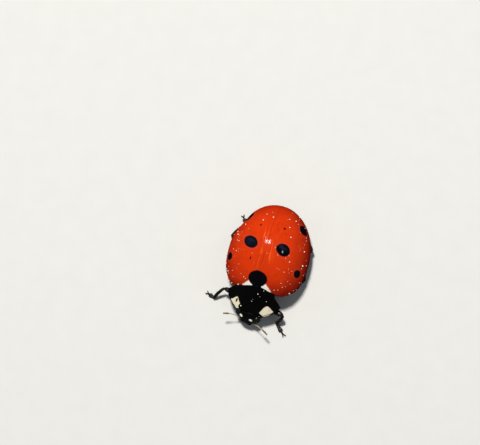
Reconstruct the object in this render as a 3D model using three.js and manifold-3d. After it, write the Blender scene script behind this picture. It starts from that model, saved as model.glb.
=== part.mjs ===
// Seven-spot ladybird, adult, standing on its six feet: a still model at life size.
// Millimetres, +Z up, the floor at z = 0. The head points to -Y, the left side is +X.
// While the pieces are shaped, y = 0 is the widest line of the wing cases. The last lines move
// the whole beetle so that its origin is the centre of its footprint.
import * as THREE from 'three';
import { mergeVertices } from 'three/addons/utils/BufferGeometryUtils.js';
import Module from 'manifold-3d';

const wasm = await Module();
wasm.setup();

// ---- driving dimensions ------------------------------------------------------------------

const GAP = 0.03; // clearance between neighbouring pieces
const WELD = 1e-5; // vertices closer than this are one vertex
const SLIVER = 0.006; // facets thinner than this are merged away after the cuts
const WALL = 0.5; // thickness of the wing cases and of the neck shield
const FAR = 20; // size of the cutting blocks

// The wing cases as one dome: half-width, reach behind and ahead of the widest line, height
// over the side margin, and the height of that margin over the floor.
const DOME = { halfWidth: 2.58, rear: 3.3, front: 2.7, height: 2.45 };
const MARGIN_Z = 1.15;
const SHELL_FRONT_Y = -2.36; // the wing cases end here in a flat face under the neck shield
const HOLLOW_REACH = 0.1; // the space under them runs this far past that end, so that it is open
const CREST_Y = 0.3; // the highest point of the back
const CREST_REACH = 3.51; // half-length of the ellipse that the back follows ahead of it
const BELLY_DEPTH = 0.62; // how far the underside hangs below the side margin

// Exponents of the dome's curves.
const TAIL_FULLNESS = 0.52;
const FRONT_SQUARENESS = 2.6;
const FRONT_FULLNESS = 1 / 3;
const FRONT_CLOSING = 14; // how abruptly the back comes down at the front
const BACK_FULLNESS = 0.55;
const SECTION_FULLNESS = 0.9;
const BELLY_FULLNESS = 0.8;

// The neck shield (pronotum): an arched plate that slopes down to the head.
const SHIELD = { backY: -2.24, cornerY: -2.84, frontY: -3.94, halfWidth: 1.79, frontHalfWidth: 0.94 };
const SHIELD_ARCH = 2.0; // radius of its arch
const SHIELD_CREST = { y: -2.36, z: 2.77, slope: 0.62, droop: 0.13 }; // its crest line, towards the head
const SHIELD_FLOOR = 0.95; // its side edges reach down to this height
const SHIELD_DIP = { depth: 0.07, halfWidth: 0.55 }; // the front edge curves back in the middle
const SHIELD_SIDE_SHARES = [0.25, 0.45, 0.62, 0.78, 0.9, 1]; // stations along its side edges
const ARCH_OVERRUN = 0.4; // the arch runs this far past both ends of the shield
const SHIELD_TURN = THREE.MathUtils.degToRad(-5);
const SHIELD_PIVOT = new THREE.Vector3(0, -2.4, 0);
const SHIELD_SHIFT = -0.085; // it sits a little to the right of the midline

const SCUTELLUM = { halfWidth: 0.24, frontY: -2.36, shoulderY: -2.26, tipY: -1.92, lowest: 0.9 };

// The body under the shield: an egg shape inside the shield's outline.
const FORE_BODY = { centre: [0, -3.1, 1.4], size: [1.7, 1.3, 0.82], inset: 0.14 };

// Cuts across the underside: the borders of the thorax rings and the abdomen plates.
const RING_CUTS = [-2.38, -1.35, -0.3, 0.5, 1.12, 1.68, 2.2];
const RING_NAMES = ['mesothorax', 'metathorax', ...[1, 2, 3, 4, 5].map((n) => `abdomen_${n}`)];

const HEAD_CENTRE = new THREE.Vector3(-0.2, -3.88, 0.98);
const HEAD_SIZE = new THREE.Vector3(0.76, 0.68, 0.56); // half-width, half-length, half-height
const HEAD_TURN = THREE.MathUtils.degToRad(-12);
const HEAD_PITCH = THREE.MathUtils.degToRad(32); // face down

// Pieces of the head, in its own directions: place from its centre (x away from the midline) and
// half-sizes.
const HEAD_PARTS = {
  eye: { place: [0.66, -0.06, 0.02], size: [0.2, 0.27, 0.25], detail: 12 },
  clypeus: { place: [0, -0.6, -0.02], size: [0.4, 0.2, 0.16], detail: 12 },
  labrum: { place: [0, -0.66, -0.2], size: [0.3, 0.15, 0.15], detail: 10 },
  mandible: { place: [0.19, -0.54, -0.34], size: [0.13, 0.17, 0.12], detail: 8 },
};
const PALP = { root: [0.46, -0.3, -0.27], tip: [0.56, -0.68, -0.33], radius: 0.17, swell: 0.06 };
const FEELER = { radius: 0.2, clubFrom: 0.6, swell: 0.05 };

const COXA = new THREE.Vector3(0.34, 0.27, 0.27); // half-sizes of a hip joint
const THIGH = 0.27; // radius of a thigh at its thickest
const SHIN = 0.25;
const SHIN_TAPER = 0.92; // a shin is this much thinner at the ankle
const FOOT = 0.229;
const FOOT_Z = 0.2; // height of a foot's centre line, so that its sole is a small flat
const HEEL_RISE = 0.02; // the heel end of a foot's centre line is this much higher

// Each leg: hip, root of the thigh, knee, ankle and toe. Feet end on the floor.
const LEGS = {
  fore_left: [
    [0.5, -3.02, 0.68], [0.72, -3.12, 0.62], [1.93, -3.48, 0.98], [1.53, -3.9, 0.3], [2.24, -4.58],
  ],
  fore_right: [
    [-0.55, -2.98, 0.68], [-0.76, -3.02, 0.62], [-2.2, -2.7, 0.95], [-2.72, -3.38, 0.3], [-3.32, -3.12],
  ],
  middle_left: [
    [0.85, -1.8, 0.62], [1.12, -1.7, 0.58], [2.56, -0.94, 0.8], [2.24, -0.12, 0.3], [2.3, 0.52],
  ],
  middle_right: [
    [-0.85, -1.8, 0.62], [-1.12, -1.72, 0.58], [-2.44, -1.25, 0.8], [-2.42, -0.3, 0.3], [-2.5, 0.3],
  ],
  hind_left: [
    [0.85, -0.55, 0.64], [1.12, -0.38, 0.6], [2.5, 1.1, 0.8], [1.8, 1.78, 0.3], [1.42, 2.35],
  ],
  hind_right: [
    [-0.85, -0.55, 0.64], [-1.12, -0.4, 0.6], [-2.7, 0.68, 0.8], [-2.1, 1.76, 0.3], [-2.5, 2.29],
  ],
};

// Middle line of each feeler, from its socket to its tip.
const FEELERS = {
  left: [[0.24, -4.34, 0.8], [0.5, -4.62, 0.92], [0.88, -4.76, 1.0], [1.22, -4.84, 0.98]],
  right: [[-0.72, -4.16, 0.85], [-1.02, -4.3, 1.02], [-1.36, -4.33, 1.1], [-1.68, -4.31, 1.08]],
};

// ---- materials ---------------------------------------------------------------------------

const COLOURS = {
  wing_case_red: { color: 0xcc2806, roughness: 0.25, metalness: 0 },
  shell_black: { color: 0x0b0a0c, roughness: 0.28, metalness: 0 },
  belly_black: { color: 0x14100f, roughness: 0.5, metalness: 0 },
  eye_black: { color: 0x08080a, roughness: 0.2, metalness: 0 },
  feeler_tan: { color: 0x9a7440, roughness: 0.45, metalness: 0 },
};

// ---- shaping tools -----------------------------------------------------------------------

// A closed geometry as a solid that can be cut and joined.
function solid(geometry) {
  const bare = new THREE.BufferGeometry();
  bare.setAttribute('position', geometry.getAttribute('position').clone());
  bare.setIndex(geometry.index ? geometry.index.clone() : null);
  const welded = mergeVertices(bare, WELD);
  const corners = [];
  for (let i = 0; i < welded.index.count; i += 3) {
    const [a, b, c] = [0, 1, 2].map((k) => welded.index.getX(i + k));
    if (a !== b && b !== c && c !== a) corners.push(a, b, c);
  }
  return new wasm.Manifold(new wasm.Mesh({
    numProp: 3,
    vertProperties: new Float32Array(welded.getAttribute('position').array),
    triVerts: new Uint32Array(corners),
  }));
}

// A closed skin through rings: place(t, u, share) gives the point at t of the way along and u of
// the way round, where share is 1 on the skin and 0 at the middle of an end cap.
function skin(along, around, place) {
  const geometry = new THREE.CylinderGeometry(1, 1, 1, around, along);
  const position = geometry.getAttribute('position');
  const point = new THREE.Vector3();
  for (let i = 0; i < position.count; i += 1) {
    point.fromBufferAttribute(position, i);
    const turn = Math.atan2(point.x, point.z) / (2 * Math.PI);
    const round = turn < -WELD ? turn + 1 : Math.abs(turn);
    const spot = place(0.5 - point.y, round, Math.hypot(point.x, point.z));
    position.setXYZ(i, spot.x, spot.y, spot.z);
  }
  return solid(geometry);
}

// A round limb along a curve; radiusAt(t) is its thickness along the way.
function limb(curve, radiusAt, along = 6, around = 10) {
  const up = new THREE.Vector3(0.1, 0.05, 1);
  return skin(along, around, (t, u, share) => {
    const tangent = curve.getTangentAt(t);
    const side = new THREE.Vector3().crossVectors(tangent, up).normalize();
    const top = new THREE.Vector3().crossVectors(side, tangent);
    const angle = 2 * Math.PI * u;
    const reach = share * radiusAt(t);
    return curve.getPointAt(t)
      .addScaledVector(side, -reach * Math.sin(angle))
      .addScaledVector(top, reach * Math.cos(angle));
  });
}

// An egg shape of the given half-sizes, turned and placed.
function egg(centre, halfSize, rotation = new THREE.Euler(), detail = 16) {
  const geometry = new THREE.SphereGeometry(1, detail, detail / 2);
  geometry.scale(halfSize.x, halfSize.y, halfSize.z);
  geometry.applyQuaternion(new THREE.Quaternion().setFromEuler(rotation));
  geometry.translate(centre.x, centre.y, centre.z);
  return solid(geometry);
}

// A block between two corners.
function block(low, high) {
  const geometry = new THREE.BoxGeometry(high[0] - low[0], high[1] - low[1], high[2] - low[2]);
  geometry.translate((low[0] + high[0]) / 2, (low[1] + high[1]) / 2, (low[2] + high[2]) / 2);
  return solid(geometry);
}

// A flat outline raised into a tall upright prism, turned with the neck shield if asked.
function prism(points, turned = false) {
  const tall = { depth: FAR, bevelEnabled: false };
  const geometry = new THREE.ExtrudeGeometry(new THREE.Shape(points), tall);
  geometry.translate(0, 0, -FAR / 2);
  return solid(turned ? turnWithShield(geometry) : geometry);
}

function turnWithShield(geometry) {
  geometry.translate(-SHIELD_PIVOT.x, -SHIELD_PIVOT.y, 0);
  geometry.rotateZ(SHIELD_TURN);
  geometry.translate(SHIELD_PIVOT.x + SHIELD_SHIFT, SHIELD_PIVOT.y, 0);
  return geometry;
}

const power = (value, exponent) => Math.sign(value) * Math.abs(value) ** exponent;
const vector = ([x, y, z]) => new THREE.Vector3(x, y, z);

// ---- wing cases and body -----------------------------------------------------------------

// Half-width of the dome at y.
function domeHalfWidth(dome, y) {
  if (y >= 0) return dome.halfWidth * Math.max(0, 1 - (y / dome.rear) ** 2) ** TAIL_FULLNESS;
  const share = (-y / dome.front) ** FRONT_SQUARENESS;
  return dome.halfWidth * Math.max(0, 1 - share) ** FRONT_FULLNESS;
}

// Height of the dome over the margin at y: a long ellipse, closed off abruptly at the front.
function domeHeight(dome, y) {
  if (y >= CREST_Y) {
    const share = (y - CREST_Y) / (dome.rear - CREST_Y);
    return dome.height * Math.max(0, 1 - share ** 2) ** BACK_FULLNESS;
  }
  const share = (CREST_Y - y) / (CREST_REACH + dome.front - DOME.front);
  const closing = Math.max(0, 1 - Math.max(0, -y / dome.front) ** FRONT_CLOSING) ** (1 / 3);
  return dome.height * Math.sqrt(1 - share ** 2) * closing;
}

// The dome moved inwards by inset at the sides, back and top, and open at the front.
const insetDome = (inset) => ({
  halfWidth: DOME.halfWidth - inset,
  rear: DOME.rear - inset,
  front: DOME.front + HOLLOW_REACH + WALL - inset,
  height: DOME.height - inset,
});

// The dome as a solid. Below the margin it hangs down by depthAt(y) with the given fullness.
function domeSolid(dome, depthAt, fullness, along, around) {
  const topShare = 0.75;
  const middle = (dome.rear - dome.front) / 2;
  const reach = (dome.rear + dome.front) / 2;
  return skin(along, around, (t, u, share) => {
    const y = middle - reach * Math.cos(Math.PI * t);
    const width = domeHalfWidth(dome, y);
    const height = domeHeight(dome, y);
    const over = u <= topShare;
    const angle = over ? (Math.PI * u) / topShare : Math.PI * (1 + (u - topShare) / (1 - topShare));
    const x = width * power(Math.cos(angle), over ? SECTION_FULLNESS : fullness);
    const above = height * Math.abs(Math.sin(angle)) ** SECTION_FULLNESS;
    const z = over ? above : -depthAt(y) * Math.abs(Math.sin(angle)) ** fullness;
    return new THREE.Vector3(share * x, y, MARGIN_Z + share * z);
  });
}

const bellyAt = (dome) => (y) => {
  const reach = y > 0 ? dome.rear : dome.front;
  return BELLY_DEPTH * Math.max(0, 1 - (Math.abs(y) / reach) ** 2.4) ** 0.5;
};
const shallow = (dome) => (y) => 0.4 * (domeHalfWidth(dome, y) / dome.halfWidth);

const domeOuter = domeSolid(DOME, () => 0, 1, 18, 32);
const hollow = insetDome(WALL);
const domeShell = domeOuter.subtract(domeSolid(hollow, shallow(hollow), 0.5, 11, 18));
const filling = insetDome(WALL + GAP);
const trunk = domeSolid(filling, bellyAt(filling), BELLY_FULLNESS, 14, 20);

// ---- neck shield and fore body -------------------------------------------------------------

// Height of the shield's crest at y.
function shieldCrest(y) {
  const forward = SHIELD_CREST.y - y;
  return SHIELD_CREST.z - SHIELD_CREST.slope * forward - SHIELD_CREST.droop * forward ** 2;
}

// Plan outline of the shield, grown sideways and lengthways by grow.
function shieldOutline(grow) {
  const half = SHIELD.halfWidth + grow;
  const back = SHIELD.cornerY - SHIELD.backY - grow;
  const front = SHIELD.frontY - SHIELD.cornerY - grow;
  const backEdge = (share) => {
    const angle = Math.PI * share;
    return [half * power(Math.cos(angle), 0.9), SHIELD.cornerY - back * Math.sin(angle) ** 0.9];
  };
  const side = (share, sign) => {
    const width = half + (SHIELD.frontHalfWidth + grow - half) * share ** 1.5;
    return [sign * width, SHIELD.cornerY + front * Math.sin((Math.PI / 2) * share) ** 1.15];
  };
  const middleY = SHIELD.frontY - grow + SHIELD_DIP.depth;
  const besideY = SHIELD.frontY - grow + 0.8 * SHIELD_DIP.depth;
  const points = [
    ...Array.from({ length: 17 }, (_, i) => backEdge(i / 16)),
    ...SHIELD_SIDE_SHARES.map((share) => side(share, -1)),
    [-SHIELD_DIP.halfWidth, besideY],
    [0, middleY],
    [SHIELD_DIP.halfWidth, besideY],
    ...SHIELD_SIDE_SHARES.toReversed().map((share) => side(share, 1)),
  ];
  return points.map(([x, y]) => new THREE.Vector2(x, y));
}

// The arch of the shield: everything under its upper side, within the given radius.
function arch(radius) {
  const from = SHIELD.backY + ARCH_OVERRUN;
  const to = SHIELD.frontY - ARCH_OVERRUN;
  return skin(8, 28, (t, u, share) => {
    const y = from + (to - from) * t;
    const angle = 2 * Math.PI * u;
    const x = -share * radius * Math.sin(angle);
    return new THREE.Vector3(x, y, shieldCrest(y) - SHIELD_ARCH - share * radius * Math.cos(angle));
  });
}

// The shield and all the air above it.
const shieldAndAbove = (grow) => prism(shieldOutline(grow), true)
  .subtract(arch(SHIELD_ARCH - WALL - grow))
  .subtract(block([-FAR, -FAR, -FAR], [FAR, FAR, SHIELD_FLOOR - grow]));
const shieldSolid = (grow) => shieldAndAbove(grow).intersect(arch(SHIELD_ARCH + grow));

// The body under the shield, which carries the front legs and holds the head in a socket.
const foreBody = (grow) => arch(SHIELD_ARCH - WALL - GAP + grow)
  .intersect(prism(shieldOutline(grow - FORE_BODY.inset), true))
  .intersect(egg(vector(FORE_BODY.centre), vector(FORE_BODY.size).addScalar(grow)))
  .intersect(block([-FAR, -FAR, -FAR], [FAR, RING_CUTS[0] - GAP + grow, FAR]));

// ---- head ----------------------------------------------------------------------------------

// Maps a place given in the head's own directions (right-left, back-front, down-up) to the beetle.
const HEAD_EULER = new THREE.Euler(HEAD_PITCH, 0, HEAD_TURN, 'ZYX');
function onHead(x, y, z) {
  return new THREE.Vector3(x, y, z).applyEuler(HEAD_EULER).add(HEAD_CENTRE);
}

const headSolid = (grow) => egg(HEAD_CENTRE, HEAD_SIZE.clone().addScalar(grow), HEAD_EULER, 20);

// A piece of the head; side is 1 for the left, -1 for the right and 0 for one on the midline.
function headPart(name, side, grow) {
  const { place: [x, y, z], size, detail } = HEAD_PARTS[name];
  return egg(onHead(side * x, y, z), vector(size).addScalar(grow), HEAD_EULER, detail);
}

const palpSolid = (side, grow) => {
  const [root, tip] = [PALP.root, PALP.tip].map(([x, y, z]) => onHead(side * x, y, z));
  return limb(new THREE.LineCurve3(root, tip), (t) => PALP.radius + PALP.swell * t + grow, 3, 8);
};
const feelerSolid = (side, grow) => {
  const path = new THREE.CatmullRomCurve3(FEELERS[side].map(vector));
  const club = (t) => (t < FEELER.clubFrom ? 0 : FEELER.swell * Math.sin(Math.PI * (t - 0.1)));
  return limb(path, (t) => FEELER.radius + club(t) + grow, 8, 8);
};

// ---- legs ----------------------------------------------------------------------------------

// The four raw lengths of a leg, each grown by grow all round.
function legSolids(points, grow) {
  const [hip, root, knee, ankle] = points.slice(0, 4).map(vector);
  const toe = new THREE.Vector3(points[4][0], points[4][1], FOOT_Z);
  const heel = new THREE.Vector3(ankle.x, ankle.y, FOOT_Z + HEEL_RISE);
  const between = (from, to) => {
    const extra = to.clone().sub(from).normalize().multiplyScalar(grow);
    return new THREE.LineCurve3(from.clone().sub(extra), to.clone().add(extra));
  };
  const spindle = (thick, taper = 1) => (t) => {
    const belly = thick * Math.sin(Math.PI * (0.15 + 0.7 * t)) ** 0.5;
    return grow + belly * (1 + (taper - 1) * t);
  };
  const heading = new THREE.Euler(0, 0, Math.atan2(knee.y - root.y, knee.x - root.x));
  return {
    coxa: egg(hip, COXA.clone().addScalar(grow), heading, 10),
    femur: limb(between(root, knee), spindle(THIGH), 5, 8),
    tibia: limb(between(knee, ankle), spindle(SHIN, SHIN_TAPER), 4, 8),
    tarsus: limb(between(heel, toe), spindle(FOOT), 4, 8),
  };
}

const floorBlock = block([-FAR, -FAR, -FAR], [FAR, FAR, 0]);
const allLegs = (grow) => Object.fromEntries(
  Object.entries(LEGS).map(([name, points]) => [name, legSolids(points, grow)]),
);
const rawLegs = allLegs(0);
const wideLegs = allLegs(GAP);

// ---- fitting the pieces to each other -------------------------------------------------------

const cutAll = (start, tools) => tools.reduce((piece, tool) => piece.subtract(tool), start);
const hips = Object.values(wideLegs).map((leg) => leg.coxa);
const thighs = Object.values(wideLegs).map((leg) => leg.femur);
const shins = Object.values(wideLegs).map((leg) => leg.tibia);

const scutellumPrism = (grow) => prism([
  new THREE.Vector2(SCUTELLUM.halfWidth + grow, SCUTELLUM.frontY - grow),
  new THREE.Vector2(SCUTELLUM.halfWidth + grow, SCUTELLUM.shoulderY),
  new THREE.Vector2(0, SCUTELLUM.tipY + 1.6 * grow),
  new THREE.Vector2(-SCUTELLUM.halfWidth - grow, SCUTELLUM.shoulderY),
  new THREE.Vector2(-SCUTELLUM.halfWidth - grow, SCUTELLUM.frontY - grow),
]);

const wideShield = shieldAndAbove(GAP);
const wideForeBody = foreBody(GAP);
const upperShell = block([-FAR, -FAR, MARGIN_Z + SCUTELLUM.lowest], [FAR, FAR, FAR]);
const frontTools = [wideShield, wideForeBody, ...thighs, ...shins];
const shellHalf = (side) => {
  const low = side > 0 ? GAP / 2 : -FAR;
  const high = side > 0 ? FAR : -GAP / 2;
  const half = domeShell.intersect(block([low, SHELL_FRONT_Y, -FAR], [high, FAR, FAR]));
  return cutAll(half, [scutellumPrism(GAP), ...frontTools]);
};

const trunkRing = (index) => {
  const from = index === 0 ? RING_CUTS[0] + GAP : RING_CUTS[index] + GAP / 2;
  const to = index + 1 < RING_CUTS.length ? RING_CUTS[index + 1] - GAP / 2 : FAR;
  const slice = trunk.intersect(block([-FAR, from, -FAR], [FAR, to, FAR]));
  return cutAll(slice, [wideShield, wideForeBody, ...hips, ...thighs]);
};

const wide = (name, side = 0) => headPart(name, side, GAP);
const bothSides = (make) => [1, -1].map(make);
const wideEyes = bothSides((side) => wide('eye', side));
const wideFeelers = ['left', 'right'].map((side) => feelerSolid(side, GAP));
const lips = [wide('clypeus'), wide('labrum')];
const mouth = [
  ...lips,
  ...bothSides((side) => wide('mandible', side)),
  ...bothSides((side) => palpSolid(side, GAP)),
];

const pieces = {
  elytron_left: [shellHalf(1), 'wing_case_red'],
  elytron_right: [shellHalf(-1), 'wing_case_red'],
  scutellum: [
    cutAll(domeShell.intersect(scutellumPrism(0)).intersect(upperShell), [wideShield, wideForeBody]),
    'shell_black',
  ],
  pronotum: [cutAll(shieldSolid(0), thighs), 'shell_black'],
  prothorax: [cutAll(foreBody(0), [headSolid(GAP), ...wideEyes, ...hips, ...thighs]), 'belly_black'],
  head: [cutAll(headSolid(0), [wideShield, ...wideEyes, ...wideFeelers, ...mouth]), 'shell_black'],
  clypeus: [cutAll(headPart('clypeus', 0, 0), wideFeelers), 'shell_black'],
  labrum: [headPart('labrum', 0, 0).subtract(wide('clypeus')), 'shell_black'],
};
RING_NAMES.forEach((name, index) => {
  pieces[name] = [trunkRing(index), 'belly_black'];
});
for (const [side, sign] of [['left', 1], ['right', -1]]) {
  const eye = headPart('eye', sign, 0);
  pieces[`eye_${side}`] = [cutAll(eye, [wideShield, feelerSolid(side, GAP)]), 'eye_black'];
  pieces[`antenna_${side}`] = [feelerSolid(side, 0), 'feeler_tan'];
  pieces[`mandible_${side}`] = [cutAll(headPart('mandible', sign, 0), lips), 'shell_black'];
  pieces[`palp_${side}`] = [
    cutAll(palpSolid(sign, 0), [wide('mandible', sign), ...lips]),
    'feeler_tan',
  ];
}
for (const [name, raw] of Object.entries(rawLegs)) {
  const { coxa, femur, tibia } = wideLegs[name];
  pieces[`${name}_coxa`] = [raw.coxa, 'shell_black'];
  pieces[`${name}_femur`] = [raw.femur.subtract(coxa), 'shell_black'];
  pieces[`${name}_tibia`] = [raw.tibia.subtract(femur), 'shell_black'];
  pieces[`${name}_tarsus`] = [cutAll(raw.tarsus, [tibia, floorBlock]), 'shell_black'];
}

// ---- the scene graph -------------------------------------------------------------------------

// A named mesh of a solid, with its own origin at the middle of the piece.
function meshOf(name, [piece, colour]) {
  const { vertProperties, triVerts, numProp } = piece.asOriginal().simplify(SLIVER).getMesh();
  const positions = new Float32Array((vertProperties.length / numProp) * 3);
  for (let i = 0; i < positions.length / 3; i += 1) {
    for (let k = 0; k < 3; k += 1) positions[3 * i + k] = vertProperties[numProp * i + k];
  }
  const geometry = new THREE.BufferGeometry();
  geometry.setAttribute('position', new THREE.BufferAttribute(positions, 3));
  geometry.setIndex(new THREE.BufferAttribute(new Uint32Array(triVerts), 1));
  geometry.computeBoundingBox();
  const middle = geometry.boundingBox.getCenter(new THREE.Vector3());
  geometry.translate(-middle.x, -middle.y, -middle.z);
  geometry.computeVertexNormals();
  const mesh = new THREE.Mesh(geometry, new THREE.MeshStandardMaterial(COLOURS[colour]));
  mesh.name = name;
  mesh.position.copy(middle);
  return mesh;
}

const ladybird = new THREE.Group();
for (const [name, piece] of Object.entries(pieces)) ladybird.add(meshOf(name, piece));
const footprint = new THREE.Box3().setFromObject(ladybird).getCenter(new THREE.Vector3());
ladybird.position.set(-footprint.x, -footprint.y, 0);

export default ladybird;
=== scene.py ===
"""Seven-spot ladybird, standing on its six feet: a still, life-size model.

Shapes are made in beetle millimetres: x from the midline towards its left side, y from the
widest line of the wing cases towards the tail, z up from the floor. settle() turns them into
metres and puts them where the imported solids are.
"""

import random
from math import acos, atan2, copysign, cos, exp, hypot, pi, radians, sin, sqrt, tan

import bmesh
import bpy
from mathutils import Euler, Matrix, Vector


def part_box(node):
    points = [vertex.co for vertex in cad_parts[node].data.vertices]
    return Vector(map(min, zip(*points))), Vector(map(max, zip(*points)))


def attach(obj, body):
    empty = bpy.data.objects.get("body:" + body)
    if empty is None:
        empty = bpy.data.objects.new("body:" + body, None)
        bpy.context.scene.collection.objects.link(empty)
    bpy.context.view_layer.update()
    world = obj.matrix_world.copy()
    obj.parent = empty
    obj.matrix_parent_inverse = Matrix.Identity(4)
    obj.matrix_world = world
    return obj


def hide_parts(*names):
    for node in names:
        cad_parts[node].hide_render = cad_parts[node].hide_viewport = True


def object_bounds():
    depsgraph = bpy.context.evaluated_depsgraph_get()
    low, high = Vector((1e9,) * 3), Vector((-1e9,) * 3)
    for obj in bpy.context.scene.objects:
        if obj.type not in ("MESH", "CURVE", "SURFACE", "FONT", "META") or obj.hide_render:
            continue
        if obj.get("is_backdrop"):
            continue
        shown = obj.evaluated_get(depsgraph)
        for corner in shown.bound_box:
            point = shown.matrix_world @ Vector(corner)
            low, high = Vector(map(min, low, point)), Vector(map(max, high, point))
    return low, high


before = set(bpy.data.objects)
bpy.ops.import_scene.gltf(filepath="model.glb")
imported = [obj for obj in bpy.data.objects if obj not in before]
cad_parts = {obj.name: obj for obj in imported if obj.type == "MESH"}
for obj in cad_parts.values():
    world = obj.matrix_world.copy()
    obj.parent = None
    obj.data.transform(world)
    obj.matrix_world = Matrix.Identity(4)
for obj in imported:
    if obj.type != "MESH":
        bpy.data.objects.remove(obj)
CAD_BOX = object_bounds()

MM = 0.001
UP = Vector((0, 0, 1))
AHEAD = Vector((0, -1, 0))
SIDES = {"left": 1, "right": -1}
LEG_NAMES = [f"{row}_{side}" for row in ("fore", "middle", "hind") for side in SIDES]


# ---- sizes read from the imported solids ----

def span(*nodes):
    """Lowest and highest corner of some nodes, in millimetres of the frame."""
    boxes = [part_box(node) for node in nodes]
    low = Vector([min(box[0][k] for box in boxes) for k in range(3)]) / MM
    high = Vector([max(box[1][k] for box in boxes) for k in range(3)]) / MM
    return low, high


SHELL_LOW, SHELL_HIGH = span("elytron_left", "elytron_right")
HALF_WIDTH = (SHELL_HIGH.x - SHELL_LOW.x) / 2
SHELL_LENGTH = SHELL_HIGH.y - SHELL_LOW.y
REAR = 0.583 * SHELL_LENGTH  # from the widest line to the tips of the wing cases
FRONT = 0.477 * SHELL_LENGTH  # from the widest line to where their outline would close
MARGIN_Z = SHELL_LOW.z
RISE = SHELL_HIGH.z - MARGIN_Z
ORIGIN = Vector(((SHELL_LOW.x + SHELL_HIGH.x) / 2, SHELL_HIGH.y - REAR, 0))
CREST_Y = 0.09 * REAR
CREST_REACH = 1.064 * REAR
BELLY_DEPTH = MARGIN_Z - span("metathorax")[0].z


def local_span(*nodes):
    """The same corners in beetle millimetres."""
    low, high = span(*nodes)
    return low - ORIGIN, high - ORIGIN


def far_end(node, start, share=0.12):
    """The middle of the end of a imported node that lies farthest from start."""
    corners = [v.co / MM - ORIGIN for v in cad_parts[node].data.vertices]
    corners.sort(key=lambda corner: (corner - start).length)
    tail = corners[int(len(corners) * (1 - share)):]
    return sum(tail, Vector()) / len(tail)


def middle_of(*nodes):
    low, high = local_span(*nodes)
    return (low + high) / 2


# ---- shaping tools ----

WELD = 1e-5  # points closer than this become one
CUT_REACH = 1e-4  # points closer than this to a cut lie on it
NEAR = 1e-3  # points closer than this to an edge belong to it


def clamp(share):
    return min(1.0, max(0.0, share))


def bell(distance, width):
    """1 in the middle, fading smoothly to 0 on both sides."""
    return exp(-((distance / width) ** 2))


def signed_power(value, exponent):
    return copysign(abs(value) ** exponent, value)


def settle(bm, name, finish, levels=0, wall=0.0, closed=True):
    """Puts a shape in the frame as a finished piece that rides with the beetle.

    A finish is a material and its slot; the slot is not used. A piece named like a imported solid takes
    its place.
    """
    material, slot = finish
    bmesh.ops.remove_doubles(bm, verts=bm.verts, dist=WELD)
    if closed:
        bmesh.ops.recalc_face_normals(bm, faces=bm.faces)
    bm.transform(Matrix.Scale(MM, 4) @ Matrix.Translation(ORIGIN))
    piece = make_object(bm, name, material)
    piece.data.shade_smooth()
    if wall:
        solid = piece.modifiers.new("wall", "SOLIDIFY")
        solid.thickness = wall * MM
        solid.offset = -1
    if levels:
        smooth = piece.modifiers.new("smooth", "SUBSURF")
        smooth.levels = smooth.render_levels = levels
    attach(piece, "root")
    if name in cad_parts:
        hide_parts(name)
    return piece


def make_object(bm, name, material):
    mesh = bpy.data.meshes.new(name)
    bm.to_mesh(mesh)
    bm.free()
    mesh.materials.append(material)
    made = bpy.data.objects.new(name, mesh)
    bpy.context.scene.collection.objects.link(made)
    return made


def quad_ball(cuts):
    """A unit ball of even, four-sided faces."""
    bm = bmesh.new()
    bmesh.ops.create_cube(bm, size=2)
    bmesh.ops.subdivide_edges(bm, edges=bm.edges, cuts=cuts, use_grid_fill=True)
    for v in bm.verts:
        v.co = Vector([tan(c * pi / 4) for c in v.co]).normalized()
    return bm


def cut(bm, point, normal, drop=False):
    """Cuts along a plane; drop removes what lies on the side that the normal points to."""
    geom = bm.verts[:] + bm.edges[:] + bm.faces[:]
    bmesh.ops.bisect_plane(
        bm, geom=geom, dist=CUT_REACH, plane_co=point, plane_no=normal, clear_outer=drop
    )


def face_upwards(bm):
    """Turns the faces of an open sheet so that its top looks up."""
    bmesh.ops.recalc_face_normals(bm, faces=bm.faces)
    top = max(bm.faces, key=lambda f: f.calc_center_median().z)
    if top.normal.z < 0:
        bmesh.ops.reverse_faces(bm, faces=bm.faces)


def next_loop(bm, loop):
    """Extrudes a loop of edges and gives its new corners and edges."""
    made = bmesh.ops.extrude_edge_only(bm, edges=loop)["geom"]
    corners = [g for g in made if isinstance(g, bmesh.types.BMVert)]
    return corners, [g for g in made if isinstance(g, bmesh.types.BMEdge)]


def tube(segments, cuts):
    """An open tube of even faces, from z -1 to 1, with a radius of 1."""
    bm = bmesh.new()
    bmesh.ops.create_cone(bm, segments=segments, radius1=1, radius2=1, depth=2, cap_ends=False)
    lengthwise = [e for e in bm.edges if abs(e.verts[0].co.z - e.verts[1].co.z) > 1]
    bmesh.ops.subdivide_edges(bm, edges=lengthwise, cuts=cuts)
    return bm


def shut_ends(bm, steps, axis):
    """Rounds each open end inwards and closes it. steps are (share pulled in, distance ahead)."""
    middle = sum((v.co.y for v in bm.verts)) / len(bm.verts)
    loop = [e for e in bm.edges if e.is_boundary]
    for pull, ahead in steps:
        corners, loop = next_loop(bm, loop)
        for v in corners:
            heading = 1 if v.co.y > middle else -1
            v.co = v.co.lerp(Vector((axis.x, v.co.y, axis.z)), pull) + Vector((0, heading * ahead, 0))
    bmesh.ops.holes_fill(bm, edges=loop, sides=0)


def bow(start, end, bulge=Vector()):
    """A path from start to end that bulges sideways in the middle."""
    return lambda t: start.lerp(end, t) + bulge * (4 * t * (1 - t))


def swelling(start, middle, end):
    """Half-thickness that runs smoothly through three values."""
    pull = 2 * (2 * middle - (start + end) / 2)
    return lambda t: start * (1 - t) ** 2 + pull * t * (1 - t) + end * t * t


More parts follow.
